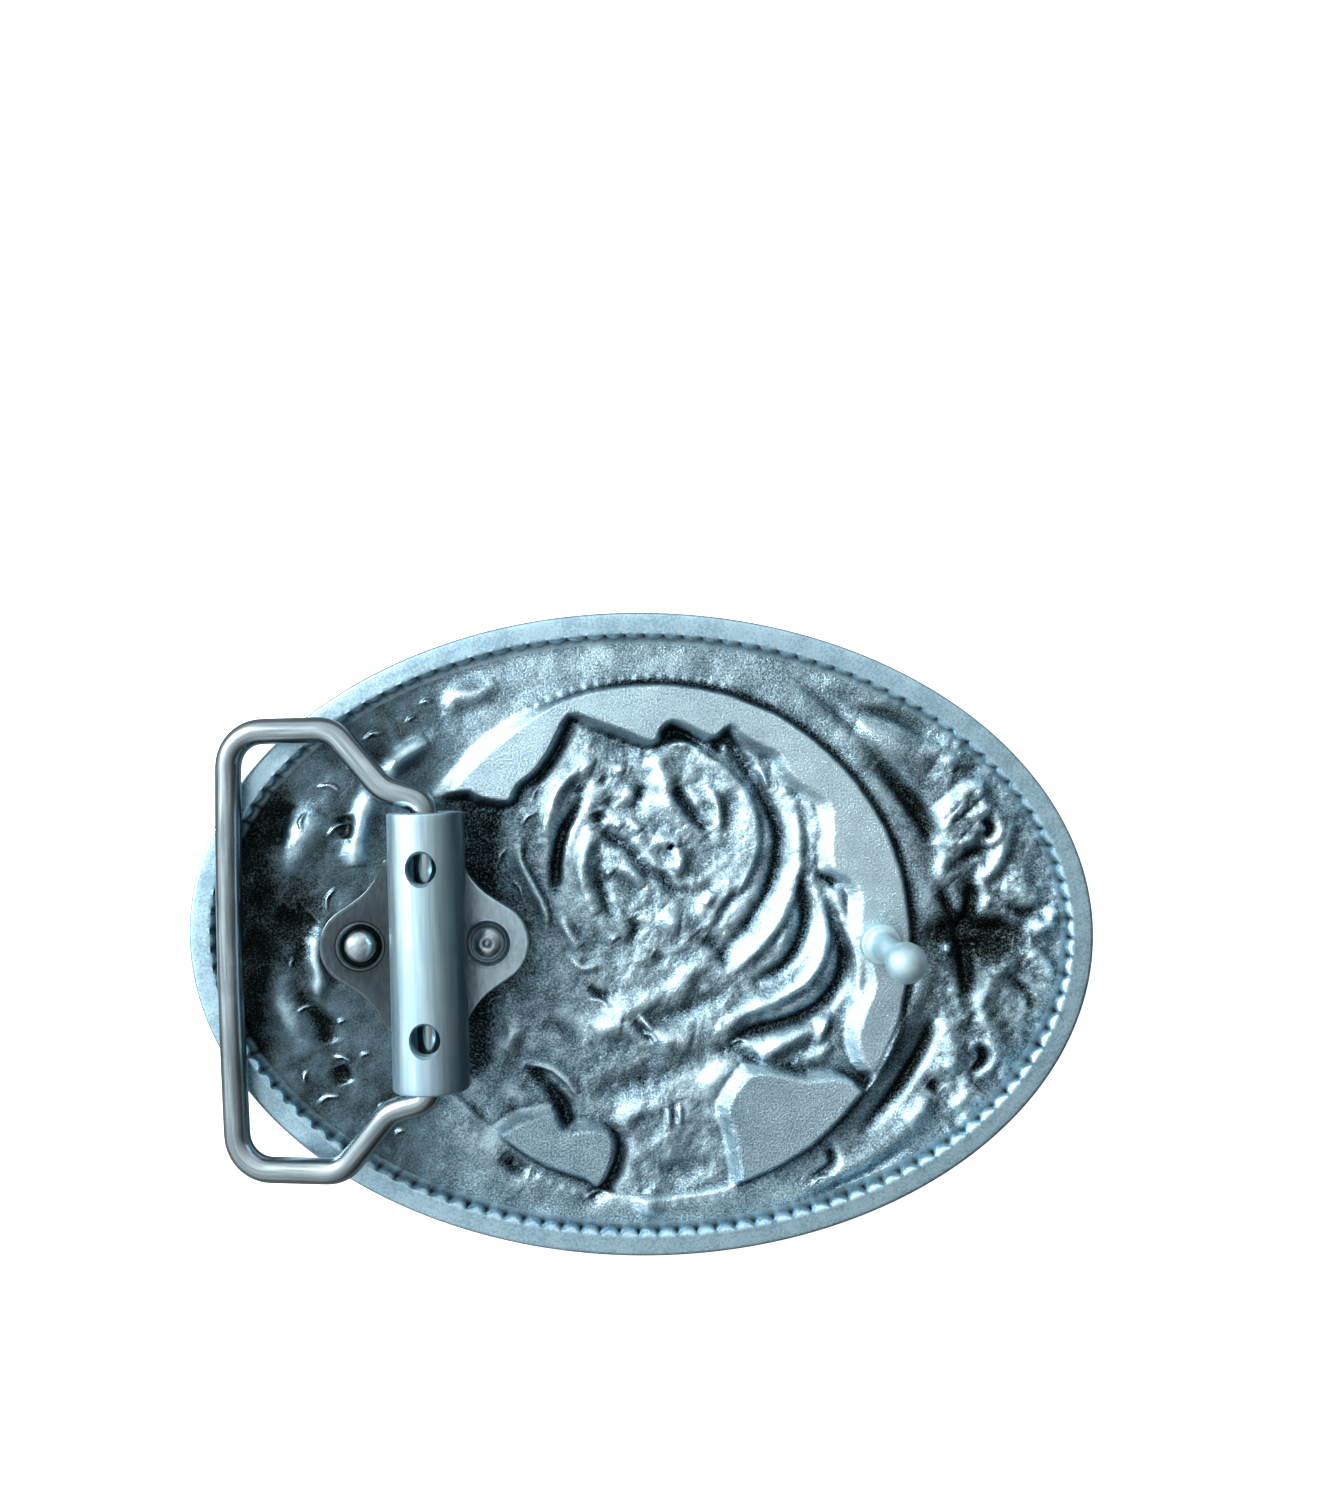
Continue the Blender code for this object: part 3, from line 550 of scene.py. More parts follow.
rimLook = {"colour": (0.58, 0.84, 0.98), "dull": (0.4, 0.62, 0.75), "grain": 4200.0, "cloud": 300.0,
           "contrast": 2.0, "speckle": 0.8, "roughness": 0.34, "roughSpread": 0.1, "bump": 0.7,
           "bumpDepth": 0.05}


def makeRimSilver():
    # satin rim: pale, with soft clouds, darkened between the beads by painted shade
    made, tree, shader = newMaterial("rimSilver")
    look = rimLook
    grain = useGroup(tree, castGrain, Size=look["grain"], Cloud_Size=look["cloud"],
                     Contrast=look["contrast"])
    mottled = maths(tree, "MULTIPLY_ADD", centred(tree, grain["Speckle"]), look["speckle"], grain["Cloud"],
                    clamp=True)
    cloudy = ramp(tree, mottled, ((0.3, look["dull"]), (0.62, look["colour"])))
    feed(tree, shader, Base_Color=mixColour(tree, attribute(tree, "patinaAndShading"), cloudy, castLook["dark"]),
         Metallic=1.0,
         Roughness=maths(tree, "MULTIPLY_ADD", grain["Speckle"], look["roughSpread"], look["roughness"]),
         Normal=bump(tree, grain["Height"], look["bump"], look["bumpDepth"]))
    return made


def makeDrawnMetal(name, look):
    # drawn or brushed metal: two tones mixed by lines along the part, with a fine grain on top
    made, tree, shader = newMaterial(name)
    if "drawnAlong" in look:
        place = attribute(tree, look["drawnAlong"], "Vector")
    else:
        place = node(tree, "ShaderNodeTexCoord").outputs["Object"]
    lines = useGroup(tree, drawnLines, Place=place, Across=look["across"], Along=look["along"],
                     Turn=look.get("turn", 0.0))["Lines"]
    grain = useGroup(tree, castGrain, Size=look["grain"], Cloud_Size=look["cloud"], Contrast=1.0)
    streaky = ramp(tree, lines, ((0.3, look["dull"]), (0.7, look["colour"])))
    tone = maths(tree, "MULTIPLY_ADD", centred(tree, grain["Cloud"]), look["mottle"], 0.5, clamp=True)
    colour = mixColour(tree, tone, look["dull"], streaky)
    both = maths(tree, "MULTIPLY_ADD", grain["Height"], look["grainShare"], lines)
    # darkened by the part's vertex value of painted shade and patina
    feed(tree, shader, Base_Color=mixColour(tree, attribute(tree, "patinaAndShading"), colour, castLook["dark"]),
         Metallic=1.0,
         Roughness=maths(tree, "MULTIPLY_ADD", lines, look["roughSpread"], look["roughness"]),
         Normal=bump(tree, both, look["bump"], 0.03))
    return made


barrelLook = {"colour": (0.82, 0.98, 1.0), "dull": (0.46, 0.7, 0.84), "across": 2600.0, "along": 90.0,
              "turn": -skew, "grain": 3600.0, "cloud": 240.0, "mottle": 1.2, "roughness": 0.36,
              "roughSpread": 0.1, "grainShare": 0.3, "bump": 0.35}
saddleLook = {"colour": (0.7, 0.92, 1.0), "dull": (0.42, 0.56, 0.64), "across": 2600.0, "along": 900.0,
              "turn": -skew, "grain": 3800.0, "cloud": 700.0, "mottle": 0.9, "roughness": 0.3,
              "roughSpread": 0.12, "grainShare": 1.0, "bump": 0.4}
rivetLook = {"colour": (0.7, 0.84, 0.9), "dull": (0.36, 0.44, 0.48), "across": 1800.0, "along": 500.0,
             "turn": 0.9, "grain": 2600.0, "cloud": 900.0, "mottle": 2.4, "roughness": 0.26,
             "roughSpread": 0.16, "grainShare": 0.6, "bump": 0.5}
bailLook = {"colour": (0.68, 0.8, 0.85), "dull": (0.27, 0.34, 0.37), "across": 2400.0, "along": 120.0,
            "drawnAlong": "drawn", "grain": 2600.0, "cloud": 240.0, "mottle": 1.6, "roughness": 0.15,
            "roughSpread": 0.16, "grainShare": 0.3, "bump": 0.5}
studLook = {"colour": (0.66, 0.86, 0.92), "dull": (0.5, 0.68, 0.75), "across": 700.0, "along": 700.0,
            "grain": 2400.0, "cloud": 700.0, "mottle": 1.4, "roughness": 0.6, "roughSpread": 0.1,
            "grainShare": 0.8, "bump": 0.35}
castSilver = makeCastSilver()
rimSilver = makeRimSilver()
barrelSatin = makeDrawnMetal("barrelSatin", barrelLook)
saddleStamped = makeDrawnMetal("saddleStamped", saddleLook)
rivetDome = makeDrawnMetal("rivetDome", rivetLook)
bailWire = makeDrawnMetal("bailWire", bailLook)
studMatt = makeDrawnMetal("studMatt", studLook)
print("materials ready")


def putPiece(name, verts, faces, material, nodeName, bodyName="plate_body", marks=None, normals=None,
             sharp=40, flip=False):
    # a mesh from points in millimetres, with its vertex values, that rides a body and replaces a node
    mesh = bpy.data.meshes.new(name)
    if flip:
        faces = faces[:, ::-1]
    mesh.vertices.add(len(verts))
    mesh.vertices.foreach_set("co", (verts * mm).astype(np.float32).ravel())
    mesh.loops.add(faces.size)
    mesh.loops.foreach_set("vertex_index", faces.astype(np.int32).ravel())
    mesh.polygons.add(len(faces))
    starts = np.arange(len(faces), dtype=np.int32) * faces.shape[1]
    mesh.polygons.foreach_set("loop_start", starts)
    mesh.update(calc_edges=True)
    mesh.validate()
    for label, values in (marks or {}).items():
        kind, field = ("FLOAT_VECTOR", "vector") if values.ndim == 3 else ("FLOAT", "value")
        data = mesh.attributes.new(label, kind, "POINT").data
        data.foreach_set(field, values.astype(np.float32).ravel())
    mesh.materials.append(material)
    mesh.shade_smooth()
    if normals is not None:
        mesh.normals_split_custom_set_from_vertices(normals.astype(np.float32).tolist())
    else:
        # points that lie on one another, as at a pole, become one
        joined = bmesh.new()
        joined.from_mesh(mesh)
        bmesh.ops.remove_doubles(joined, verts=joined.verts, dist=1e-7)
        joined.to_mesh(mesh)
        joined.free()
        if sharp:
            mesh.set_sharp_from_angle(angle=math.radians(sharp))
    piece = bpy.data.objects.new(name, mesh)
    scene.collection.objects.link(piece)
    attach(piece, bodyName)
    if nodeName:
        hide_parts(nodeName)
    return piece


def gridFaces(rows, columns, wrapRows=False, wrapColumns=False):
    # quads between neighbouring rows and columns of a grid of points, wrapping where asked
    index = np.arange(rows * columns).reshape(rows, columns)
    if wrapRows:
        index = np.vstack([index, index[:1]])
    if wrapColumns:
        index = np.hstack([index, index[:, :1]])
    corners = (index[:-1, :-1], index[:-1, 1:], index[1:, 1:], index[1:, :-1])
    return np.stack([c.ravel() for c in corners], axis=1)


rim = {"foot": 3.15, "inner": 2.1, "beads": 120, "beadReach": 0.55, "edge": 0.42}
floorHalfX = halfLong - rim["foot"]
floorHalfY = halfShort - rim["foot"]
columns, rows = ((576, 408))
u = np.linspace(-1, 1, columns + 1)[None, :]
v = np.linspace(-1, 1, rows + 1)[:, None]
# the square -1..1 is drawn out to an oval: each side bulges by the root of 1 - half the other squared
gridX = floorHalfX * u * np.sqrt(1 - v * v / 2)
gridY = floorHalfY * v * np.sqrt(1 - u * u / 2)
back, plateau, disc, rose, left, scrolls, dig, litWall, petals = backHeight(gridX, gridY)
print("back relief worked out")


def spot(x, y, wide, tall):
    # bell round a place, its widths along x and y
    return np.exp(-((gridX - x) / wide) ** 2 - ((gridY - y) / tall) ** 2)


# patina and painted light: how much each thing darkens the casting, or brightens it if under 0; hollows,
# valleys and patches are patina, the slope, wall, foot, bead, crest and nick terms are painted shade and
# painted highlights by which way the surface faces the light, and the terms beside the tube and under the
# bar are painted shadows
patinaShadingWeights = {"base": 0.35, "hollow": 0.85, "fineHollow": 1.25, "slope": 0.24, "valley": 0.35,
           "petalValley": 0.28, "litWall": -0.75, "patches": 0.14, "left": 0.36, "ringRight": -0.04,
           "rose": -0.05, "ringTop": -0.02, "leftCrestHighlight": -0.75, "leftNickGlint": -1.6, "shadeAtDiscFoot": 0.55,
           "litFoot": -0.5, "shadowBesideTube": 0.85, "shadowUnderBar": 0.4, "beads": -0.42}
# spots of it, among them painted shadow from the tube and the bar, and painted highlights where the amount
# is under 0: (amount, x, y, width along x, width along y)
patinaShadingSpots = (
    (1.3, 34.8, -0.2, 3.6, 2.8), (0.4, 34.6, 0.5, 1.2, 6.5), (0.25, 39, 0, 3.5, 1.6),
    (0.45, -13.6, -2, 3.6, 9), (0.3, -17, 13, 4, 4), (0.35, -38.5, 0, 4, 5), (0.2, -12, -16, 5, 4),
    (0.05, 0, -14, 14, 5), (-0.3, 8, -16.6, 3, 2.4), (-0.45, -15.6, -21.8, 1.3, 1.6),
    (-0.3, 0.6, -28.8, 1.3, 1.3), (-0.25, -13, -11, 2, 2), (0.4, 29, 14.4, 1.8, 2.6),
    (0.3, 28.4, -13.6, 1.6, 4), (-0.2, -14, -11.3, 1.4, 1.2))
barSlant = 0.033   # how far the shade beside the tube and under the bar leans, for each mm up
hollowness = blurred(back, 90) - back
ahead = np.gradient(back, axis=1) / np.gradient(gridX, axis=1)
ringRight = smoothStep(18, 32, gridX) * (1 - disc)
fromCentre = np.hypot(gridX - medallion["x"], gridY - medallion["y"])
pastFoot = fromCentre - medallion["radius"] - 0.2
fromBail = gridX - barSlant * gridY
beadAngle = np.arctan2(gridY - medallion["y"], gridX - medallion["x"])
# painted highlight on the row of beads round the medallion's foot
beadHighlightRow = np.exp(-((pastFoot - 0.5) / 0.35) ** 2) * smoothStep(0.1, 0.6, np.sin(130 * beadAngle))
where = {
    "hollow": np.clip(hollowness, -0.4, 0.9),
    "fineHollow": np.clip(blurred(back, 14) - back, -0.18, 0.34),
    # painted shade on slopes that face away from the light, painted light on those that face it
    "slope": np.clip(-ahead, -0.6, 1.2),
    "valley": np.clip(-scrolls, 0, 0.9),
    "petalValley": np.clip(-petals, 0, 0.9),
    # painted light and painted shade on the rose hollow's walls
    "litWall": litWall,
    "patches": lumps(gridX, gridY, 2.2, 71, 3),
    "left": left * (1 - plateau),
    "ringRight": ringRight,
    "rose": rose,
    "ringTop": smoothStep(22, 27, gridY) * smoothStep(-22, -8, gridX) * smoothStep(20, 10, gridX),
    # painted highlights on the crests and scratch glints on the bail side
    "leftCrestHighlight": left * np.clip(scrolls, 0, 0.8),
    "leftNickGlint": left * np.clip(dig, 0, 0.34),
    # painted shade along the medallion's foot on the side away from the light
    "shadeAtDiscFoot": np.exp(-(pastFoot / 0.5) ** 2) * smoothStep(2, 14, gridX + 0.4 * gridY),
    # painted highlight on the medallion's foot where it faces the light
    "litFoot": (np.exp(-(pastFoot / 0.9) ** 2) * smoothStep(-11, -15, gridX) * smoothStep(12, 15, gridY)
                * smoothStep(26, 22, gridY)),
    # painted shadow of the hinge tube on the casting beside it
    "shadowBesideTube": (smoothStep(-14.2, -17.4, fromBail) * smoothStep(-17, -13, gridY)
                   * smoothStep(17, 12, gridY) * smoothStep(-19.5, -18.5, gridX)),
    # painted shadow of the bail's bar on the casting
    "shadowUnderBar": smoothStep(-37.5, -41.5, fromBail),
    # painted highlight on the beads
    "beads": beadHighlightRow * smoothStep(19, 23, np.abs(gridY)) * (gridX < 9)}
# patina and painted light together: patina dark in hollows and valleys, painted shade and painted shadows
# where the light falls short, painted highlights on lit walls, crests and nicks; the medallion's flats kept
# pale
patinaAndShading = patinaShadingWeights["base"] + sum(patinaShadingWeights[name] * field for name, field in where.items())
patinaAndShading += sum(amount * spot(*place) for amount, *place in patinaShadingSpots)
patinaAndShading = np.clip(patinaAndShading, 0, 1) * (1 - plateau)
# on the medallion's flats: a base darkening, more towards the bottom and less towards the hook
patinaAndShading += (0.25 + 0.13 * smoothStep(8, -20, gridY) - 0.13 * smoothStep(5, 20, gridX)) * plateau
warmth = 0.42 * (1 - plateau) + 0.16 * (1 - disc) + 0.35 * ringRight * smoothStep(0.1, 0.4, patinaAndShading)


def fieldNormals(x, y, z):
    # cross product of the grid's two neighbouring differences, made one unit long
    points = np.stack([x, y, z], axis=2)
    across = np.gradient(points, axis=1)
    along = np.gradient(points, axis=0)
    normals = np.cross(across, along)
    return normals / np.linalg.norm(normals, axis=2, keepdims=True).clip(1e-9)


def putField(prefix, height, patinaShadingPoints, warmPoints, sandyPoints, material, faceUp):
    # the oval field in four pieces that share their edge points
    normals = fieldNormals(gridX, gridY, height) * (1 if faceUp else -1)
    halfColumn = columns // 2
    halfRow = rows // 2
    for name, rowPart, columnPart in (
            ("RearBail", slice(halfRow, None), slice(0, halfColumn + 1)),
            ("RearHook", slice(halfRow, None), slice(halfColumn, None)),
            ("FrontBail", slice(0, halfRow + 1), slice(0, halfColumn + 1)),
            ("FrontHook", slice(0, halfRow + 1), slice(halfColumn, None))):
        part = (rowPart, columnPart)
        verts = np.stack([gridX[part], gridY[part], height[part]], axis=2)
        faces = gridFaces(verts.shape[0], verts.shape[1])
        putPiece(prefix + name, verts.reshape(-1, 3), faces, material, "face_plate",
                 marks={"patinaAndShading": patinaShadingPoints[part].ravel(), "warmth": warmPoints[part].ravel(),
                        "sandy": sandyPoints[part].ravel()},
                 normals=normals[part].reshape(-1, 3), flip=not faceUp)


sandy = 1 - 0.62 * left * (1 - plateau)
putField("plateBack", back, patinaAndShading, warmth, sandy, castSilver, True)
front = np.clip(back - wallThickness - 0.15 * blurred(hollowness, 2), 0.2, None)
frontAge = np.clip(0.35 - 0.8 * hollowness, 0.05, 0.95)
putField("plateFace", front, frontAge, warmth * 0, 0 * warmth + 0.5, castSilver, False)
print("plate relief placed")


def makePlateRim():
    # rings of the oval, each drawn in by its own inset: beads, flat top, rounded edge, side and rope edge
    edge = np.concatenate([
        np.stack([np.zeros(columns, int), np.arange(columns)], 1),
        np.stack([np.arange(rows), np.full(rows, columns)], 1),
        np.stack([np.full(columns, rows), np.arange(columns, 0, -1)], 1),
        np.stack([np.arange(rows, 0, -1), np.zeros(rows, int)], 1)])
    onEdge = (edge[:, 0], edge[:, 1])
    angle = np.arctan2(gridY[onEdge] / floorHalfY, gridX[onEdge] / floorHalfX)
    fine = np.linspace(-np.pi, np.pi, 7201)
    steps = np.hypot(np.diff(halfLong * np.cos(fine)), np.diff(halfShort * np.sin(fine)))
    length = np.concatenate([[0], np.cumsum(steps)])
    share = np.interp(angle, fine, length / length[-1])
    sections = []
    shadingValues = []

    def section(inset, height, dark):
        # one ring: the oval drawn in by the inset, at a height
        sections.append(np.stack([(halfLong - inset) * np.cos(angle), (halfShort - inset) * np.sin(angle),
                                  height + 0 * angle], axis=1))
        shadingValues.append(dark + 0 * angle)

    foot = back[onEdge]
    section(rim["foot"], foot, patinaAndShading[onEdge])
    lobe = np.abs(np.sin(np.pi * share * rim["beads"])) ** 0.7
    for fall, reach in ((1.0, 1.0), (0.75, 0.99), (0.52, 0.94), (0.38, 0.84), (0.26, 0.67), (0.15, 0.45),
                        (0.05, 0.2)):
        # each bead slopes gently in from the rim's top, then drops to the ring; painted shade darkens the
        # gaps between beads and the lower rows, so the crest stays pale
        low = smoothStep(0.2, 0.6, fall)
        inset = rim["inner"] + 0.08 + rim["beadReach"] * reach * lobe
        height = foot if fall == 1.0 else np.maximum(rimTop - fall, foot)
        section(inset, height, low * np.clip(0.5 - 0.7 * lobe, 0, 1) + 0.5 * smoothStep(0.5, 0.95, fall))
    lip = rim["inner"] + 0.1
    section(lip, rimTop, 0.0)
    dish = 0.012 * np.sin(31 * angle) + 0.01 * np.sin(83 * angle + 1)
    section(lip - 0.3, rimTop + dish - 0.01, 0.13)
    section(1.0, rimTop + dish, 0.09)
    for turn in np.radians(np.arange(0, 91, 15)):
        inset = rim["edge"] * (1 - np.sin(turn))
        height = rimTop - rim["edge"] * (1 - np.cos(turn))
        section(inset, height + dish * np.cos(turn), 0.03)
    for height in (3.0, 2.1, 1.2):
        section(0.02 + 0.01 * np.sin(47 * angle), height, 0.05)
    twist = share * rim["beads"]
    for turn in np.radians(np.arange(0, 181, 15)):
        # rope edge: a half round bead whose strands lean along it
        strand = np.abs(np.sin(np.pi * (twist + 0.5 * np.cos(turn)))) ** 0.7
        radius = 1 - 0.22 * (1 - strand)
        inset = 1.55 - 1.5 * radius * np.cos(turn)
        height = 0.75 - 0.75 * radius * np.sin(turn)
        section(inset, height, 0.55 * (1 - strand))
    section(rim["foot"], front[onEdge], 0.5)
    verts = np.stack(sections)
    faces = gridFaces(len(sections), len(angle), wrapColumns=True)
    putPiece("plateRim", verts.reshape(-1, 3), faces, rimSilver, "face_plate",
             marks={"patinaAndShading": np.concatenate(shadingValues)}, sharp=50, flip=True)


makePlateRim()
print("rim placed")


def bracketPlaces(points):
    # turns points given in the bracket's own axes, with the hinge at x = 0, into the row's frame
    cosine = math.cos(skew)
    sine = math.sin(skew)
    x, y, z = points[..., 0], points[..., 1], points[..., 2]
    return np.stack([pivot[0] + x * cosine - y * sine, pivot[1] + x * sine + y * cosine, z], axis=-1)


def revolve(profile, count, centre=(0, 0)):
    # each (radius, height) of the profile carried round the vertical axis
    angle = np.linspace(0, 2 * np.pi, count, endpoint=False)
    radius, height = np.array(profile, float).T
    x = centre[0] + radius[:, None] * np.cos(angle)
    y = centre[1] + radius[:, None] * np.sin(angle)
    z = height[:, None] + 0 * angle
    return np.stack([x, y, z], axis=2)


barrelLow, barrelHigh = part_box("bracket_barrel")
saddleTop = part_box("bracket_saddle")[1].z / mm
axisHeight = pivot[2]
tubeOffset = 1.2          # the tube's axis stands this far towards the hook from the saddle's middle
barrel = {"radius": (barrelHigh.z - barrelLow.z) / 2 / mm, "half": 14.0, "bore": 2.375, "hole": 1.55,
          "holePitch": 17.0, "round": 0.22}


def makeBarrel():
    # closed profile (bore, rounded ends, outer wall) carried round the hinge axis, then two holes cut
    radius, half, soft = barrel["radius"], barrel["half"], barrel["round"]
    outer = []
    for turn in np.radians(np.arange(90, -1, -18)):
        outer.append((radius - soft + soft * np.cos(turn), half - soft + soft * np.sin(turn)))
    stations = np.linspace(half - soft, soft - half, 40)[1:-1]
    lower = [(r, -h) for r, h in outer[::-1]]
    wallOut = [(radius, h) for h in stations]
    bore = [(barrel["bore"], -half + 0.1), (barrel["bore"], half - 0.1)]
    inner = [(barrel["bore"] + 0.1, -half), *bore, (barrel["bore"] + 0.1, half)]
    profile = np.array(outer + wallOut + lower + inner)
    angle = np.linspace(0, 2 * np.pi, 128, endpoint=False)
    wave = 1 + 0.0012 * np.sin(2 * angle + 1) + 0.0008 * np.sin(5 * angle)
    across = profile[:, :1] * np.cos(angle) * wave
    up = axisHeight + profile[:, :1] * np.sin(angle) * wave
    along = profile[:, 1:] + 0 * angle
    verts = bracketPlaces(np.stack([across, along, up], axis=2))
    faces = gridFaces(len(profile), len(angle), wrapRows=True, wrapColumns=True)
    # painted shade: the side of the tube that faces the hook is darkened
    shadedLimb = smoothStep(0.58, 0.88, np.cos(angle)) * (profile[:, :1] > barrel["bore"] + 0.3)
    piece = putPiece("barrelTube", verts.reshape(-1, 3), faces, barrelSatin, "bracket_barrel",
                     marks={"patinaAndShading": 0.82 * shadedLimb.ravel()}, sharp=0, flip=True)
    for side in (-1, 1):
        depth = np.array([(barrel["hole"], -3.0), (barrel["hole"], radius - 0.36),
                          (barrel["hole"] + 0.55, radius + 0.4), (barrel["hole"] + 0.55, radius + 2)])
        shape = revolve(depth, 48, (0, side * barrel["holePitch"] / 2))
        shape[..., 2] += axisHeight
        cutter = bracketPlaces(shape)
        ends = cutter[[0, -1]].mean(axis=1)
        verts = np.vstack([cutter.reshape(-1, 3), ends])
        faces = gridFaces(len(depth), 48, wrapColumns=True).tolist()
        last = (len(depth) - 1) * 48
        for k in range(48):
            faces.append((len(verts) - 2, (k + 1) % 48, k))
            faces.append((last + k, last + (k + 1) % 48, len(verts) - 1))
        mesh = bpy.data.meshes.new("holeTool")
        mesh.from_pydata((verts * mm).tolist(), [], faces)
        tool = bpy.data.objects.new("holeTool", mesh)
        scene.collection.objects.link(tool)
        step = piece.modifiers.new("hole", "BOOLEAN")
        step.object = tool
        step.operation = "DIFFERENCE"
        step.solver = "EXACT"
        bpy.context.view_layer.update()
        graph = bpy.context.evaluated_depsgraph_get()
        cut = bpy.data.meshes.new_from_object(piece.evaluated_get(graph))
        piece.modifiers.clear()
        old = piece.data
        piece.data = cut
        bpy.data.meshes.remove(old)
        bpy.data.objects.remove(tool, do_unlink=True)
    piece.data.shade_smooth()
    piece.data.set_sharp_from_angle(angle=math.radians(28))
    return piece


makeBarrel()

saddle = {"pitch": 13.3, "ear": 4.3, "slope": 57, "flareOut": 1.4, "root": 18.2, "bottom": 3.62,
          "dish": 2.35, "dishDepth": 0.5, "hole": 1.3, "edge": 0.16}


def roundedCorners(corners, step=6):
    # straight runs joined by arcs, each corner given as (x, y, radius)
    points = [np.array(corners[0][:2], float)]
    for before, (x, y, radius), after in zip(corners, corners[1:], corners[2:]):
        into = math.atan2(y - before[1], x - before[0])
        out = math.atan2(after[1] - y, after[0] - x)
        turn = (out - into + math.pi) % (2 * math.pi) - math.pi
        tangent = radius * math.tan(abs(turn) / 2)
        side = math.copysign(1, turn)
        centre = np.array([x - tangent * math.cos(into) - side * radius * math.sin(into),
                           y - tangent * math.sin(into) + side * radius * math.cos(into)])
        angles = into + turn * np.linspace(0, 1, max(3, int(abs(math.degrees(turn)) / step) + 1))
        points += list(centre + side * radius * np.stack([np.sin(angles), -np.cos(angles)], axis=1))
    points.append(np.array(corners[-1][:2], float))
    return np.array(points)


def evenly(path, count):
    # the same line with points at equal steps
    length = np.concatenate([[0], np.cumsum(np.hypot(*np.diff(path, axis=0).T))])
    places = np.linspace(0, length[-1], count)
    return np.stack([np.interp(places, length, path[:, k]) for k in range(path.shape[1])], axis=1)


def makeSaddle():
    # each half is rings drawn from the rivet's dish out to the half's outline, over its edge and back
    tip = saddle["pitch"] / 2 + saddle["ear"]
    slope = math.radians(saddle["slope"])
    earY = saddle["ear"] * math.tan(slope / 2)
    flareX = barrel["radius"] + saddle["flareOut"]
    quarter = roundedCorners(((tip, 0, 0), (tip, earY, saddle["ear"]),
                              (flareX, earY + (tip - flareX) / math.tan(slope), 8.0),
                              (barrel["radius"], saddle["root"] / 2, 0.3), (0, saddle["root"] / 2, 0)))
    quarter = evenly(quarter, 90)
    seam = np.stack([np.zeros(41), np.linspace(saddle["root"] / 2, -saddle["root"] / 2, 41)], axis=1)
    outline = np.vstack([quarter, seam[1:-1], quarter[:0:-1] * [1, -1]])
    onSeam = outline[:, 0] < 1e-6
    rivet = np.array([saddle["pitch"] / 2, 0.0])
    away = outline - rivet
    direction = away / np.hypot(*away.T)[:, None]
    top, low, soft = saddleTop, saddle["bottom"], saddle["edge"]
    floor = top - saddle["dishDepth"]
    inward = np.where(onSeam, 0.0, 1.0)[:, None]
    rings = []
    marks = []

    def addRing(xy, height, dark):
        rings.append(np.column_stack([xy, np.full(len(xy), height)]))
        marks.append(np.full(len(xy), dark))

    hole, dish = saddle["hole"], saddle["dish"]
    for radius, height, dark in (
            (hole, low, 0.9), (hole, floor - 0.05, 0.9), (hole + 0.1, floor, 0.85),
            (dish - 0.42, floor, 0.7), (dish - 0.22, floor + 0.1, 0.45), (dish - 0.06, top - 0.1, 0.1),
            (dish + 0.06, top + 0.03, 0.0), (dish + 0.24, top + 0.01, 0.25), (dish + 0.4, top, 0.15)):
        addRing(rivet + direction * radius, height, dark)
    for share in (0.8, 0.9):
        addRing(rivet + away * share, top, 0.1)
    # the rounded edge gets no darkening, a painted highlight along it
    rounded = [(soft * (1 - np.sin(turn)), top - soft * (1 - np.cos(turn)), -0.3)
               for turn in np.radians((0, 30, 60, 90))]
    edgeRings = [(soft + 0.2, top, 0.0), *rounded, (0, low + 0.2, 0.2), (0.1, low, 0.4)]
    for inset, height, dark in edgeRings:
        addRing(rivet + away - direction * inset * inward, height, dark)
    stack = np.stack(rings)
    markStack = np.clip(np.stack(marks), 0, 1)
    faces = gridFaces(len(rings), len(outline), wrapRows=True, wrapColumns=True)
    columnOf = faces % len(outline)
    rowOf = faces // len(outline)
    outer = len(rings) - len(edgeRings)
    internal = onSeam[columnOf].all(axis=1) & ((rowOf >= outer).all(axis=1))
    right = bracketPlaces(stack - [tubeOffset, 0, 0])
    leftHalf = bracketPlaces(stack * [-1, 1, 1] - [tubeOffset, 0, 0])
    keep = faces[~internal]
    verts = np.vstack([right.reshape(-1, 3), leftHalf.reshape(-1, 3)])
    both = np.vstack([keep, keep[:, ::-1] + stack.shape[0] * stack.shape[1]])
    # painted shade: the half on the bail side is darkened throughout
    shadingValues = np.concatenate([markStack.ravel(), np.clip(markStack + 0.75, 0, 1).ravel()])
    putPiece("saddlePlate", verts, both, saddleStamped, "bracket_saddle", marks={"patinaAndShading": shadingValues}, sharp=38,
             flip=True)


makeSaddle()

rivets = {"radius": 1.72, "dome": 1.12, "foot": 4.42}


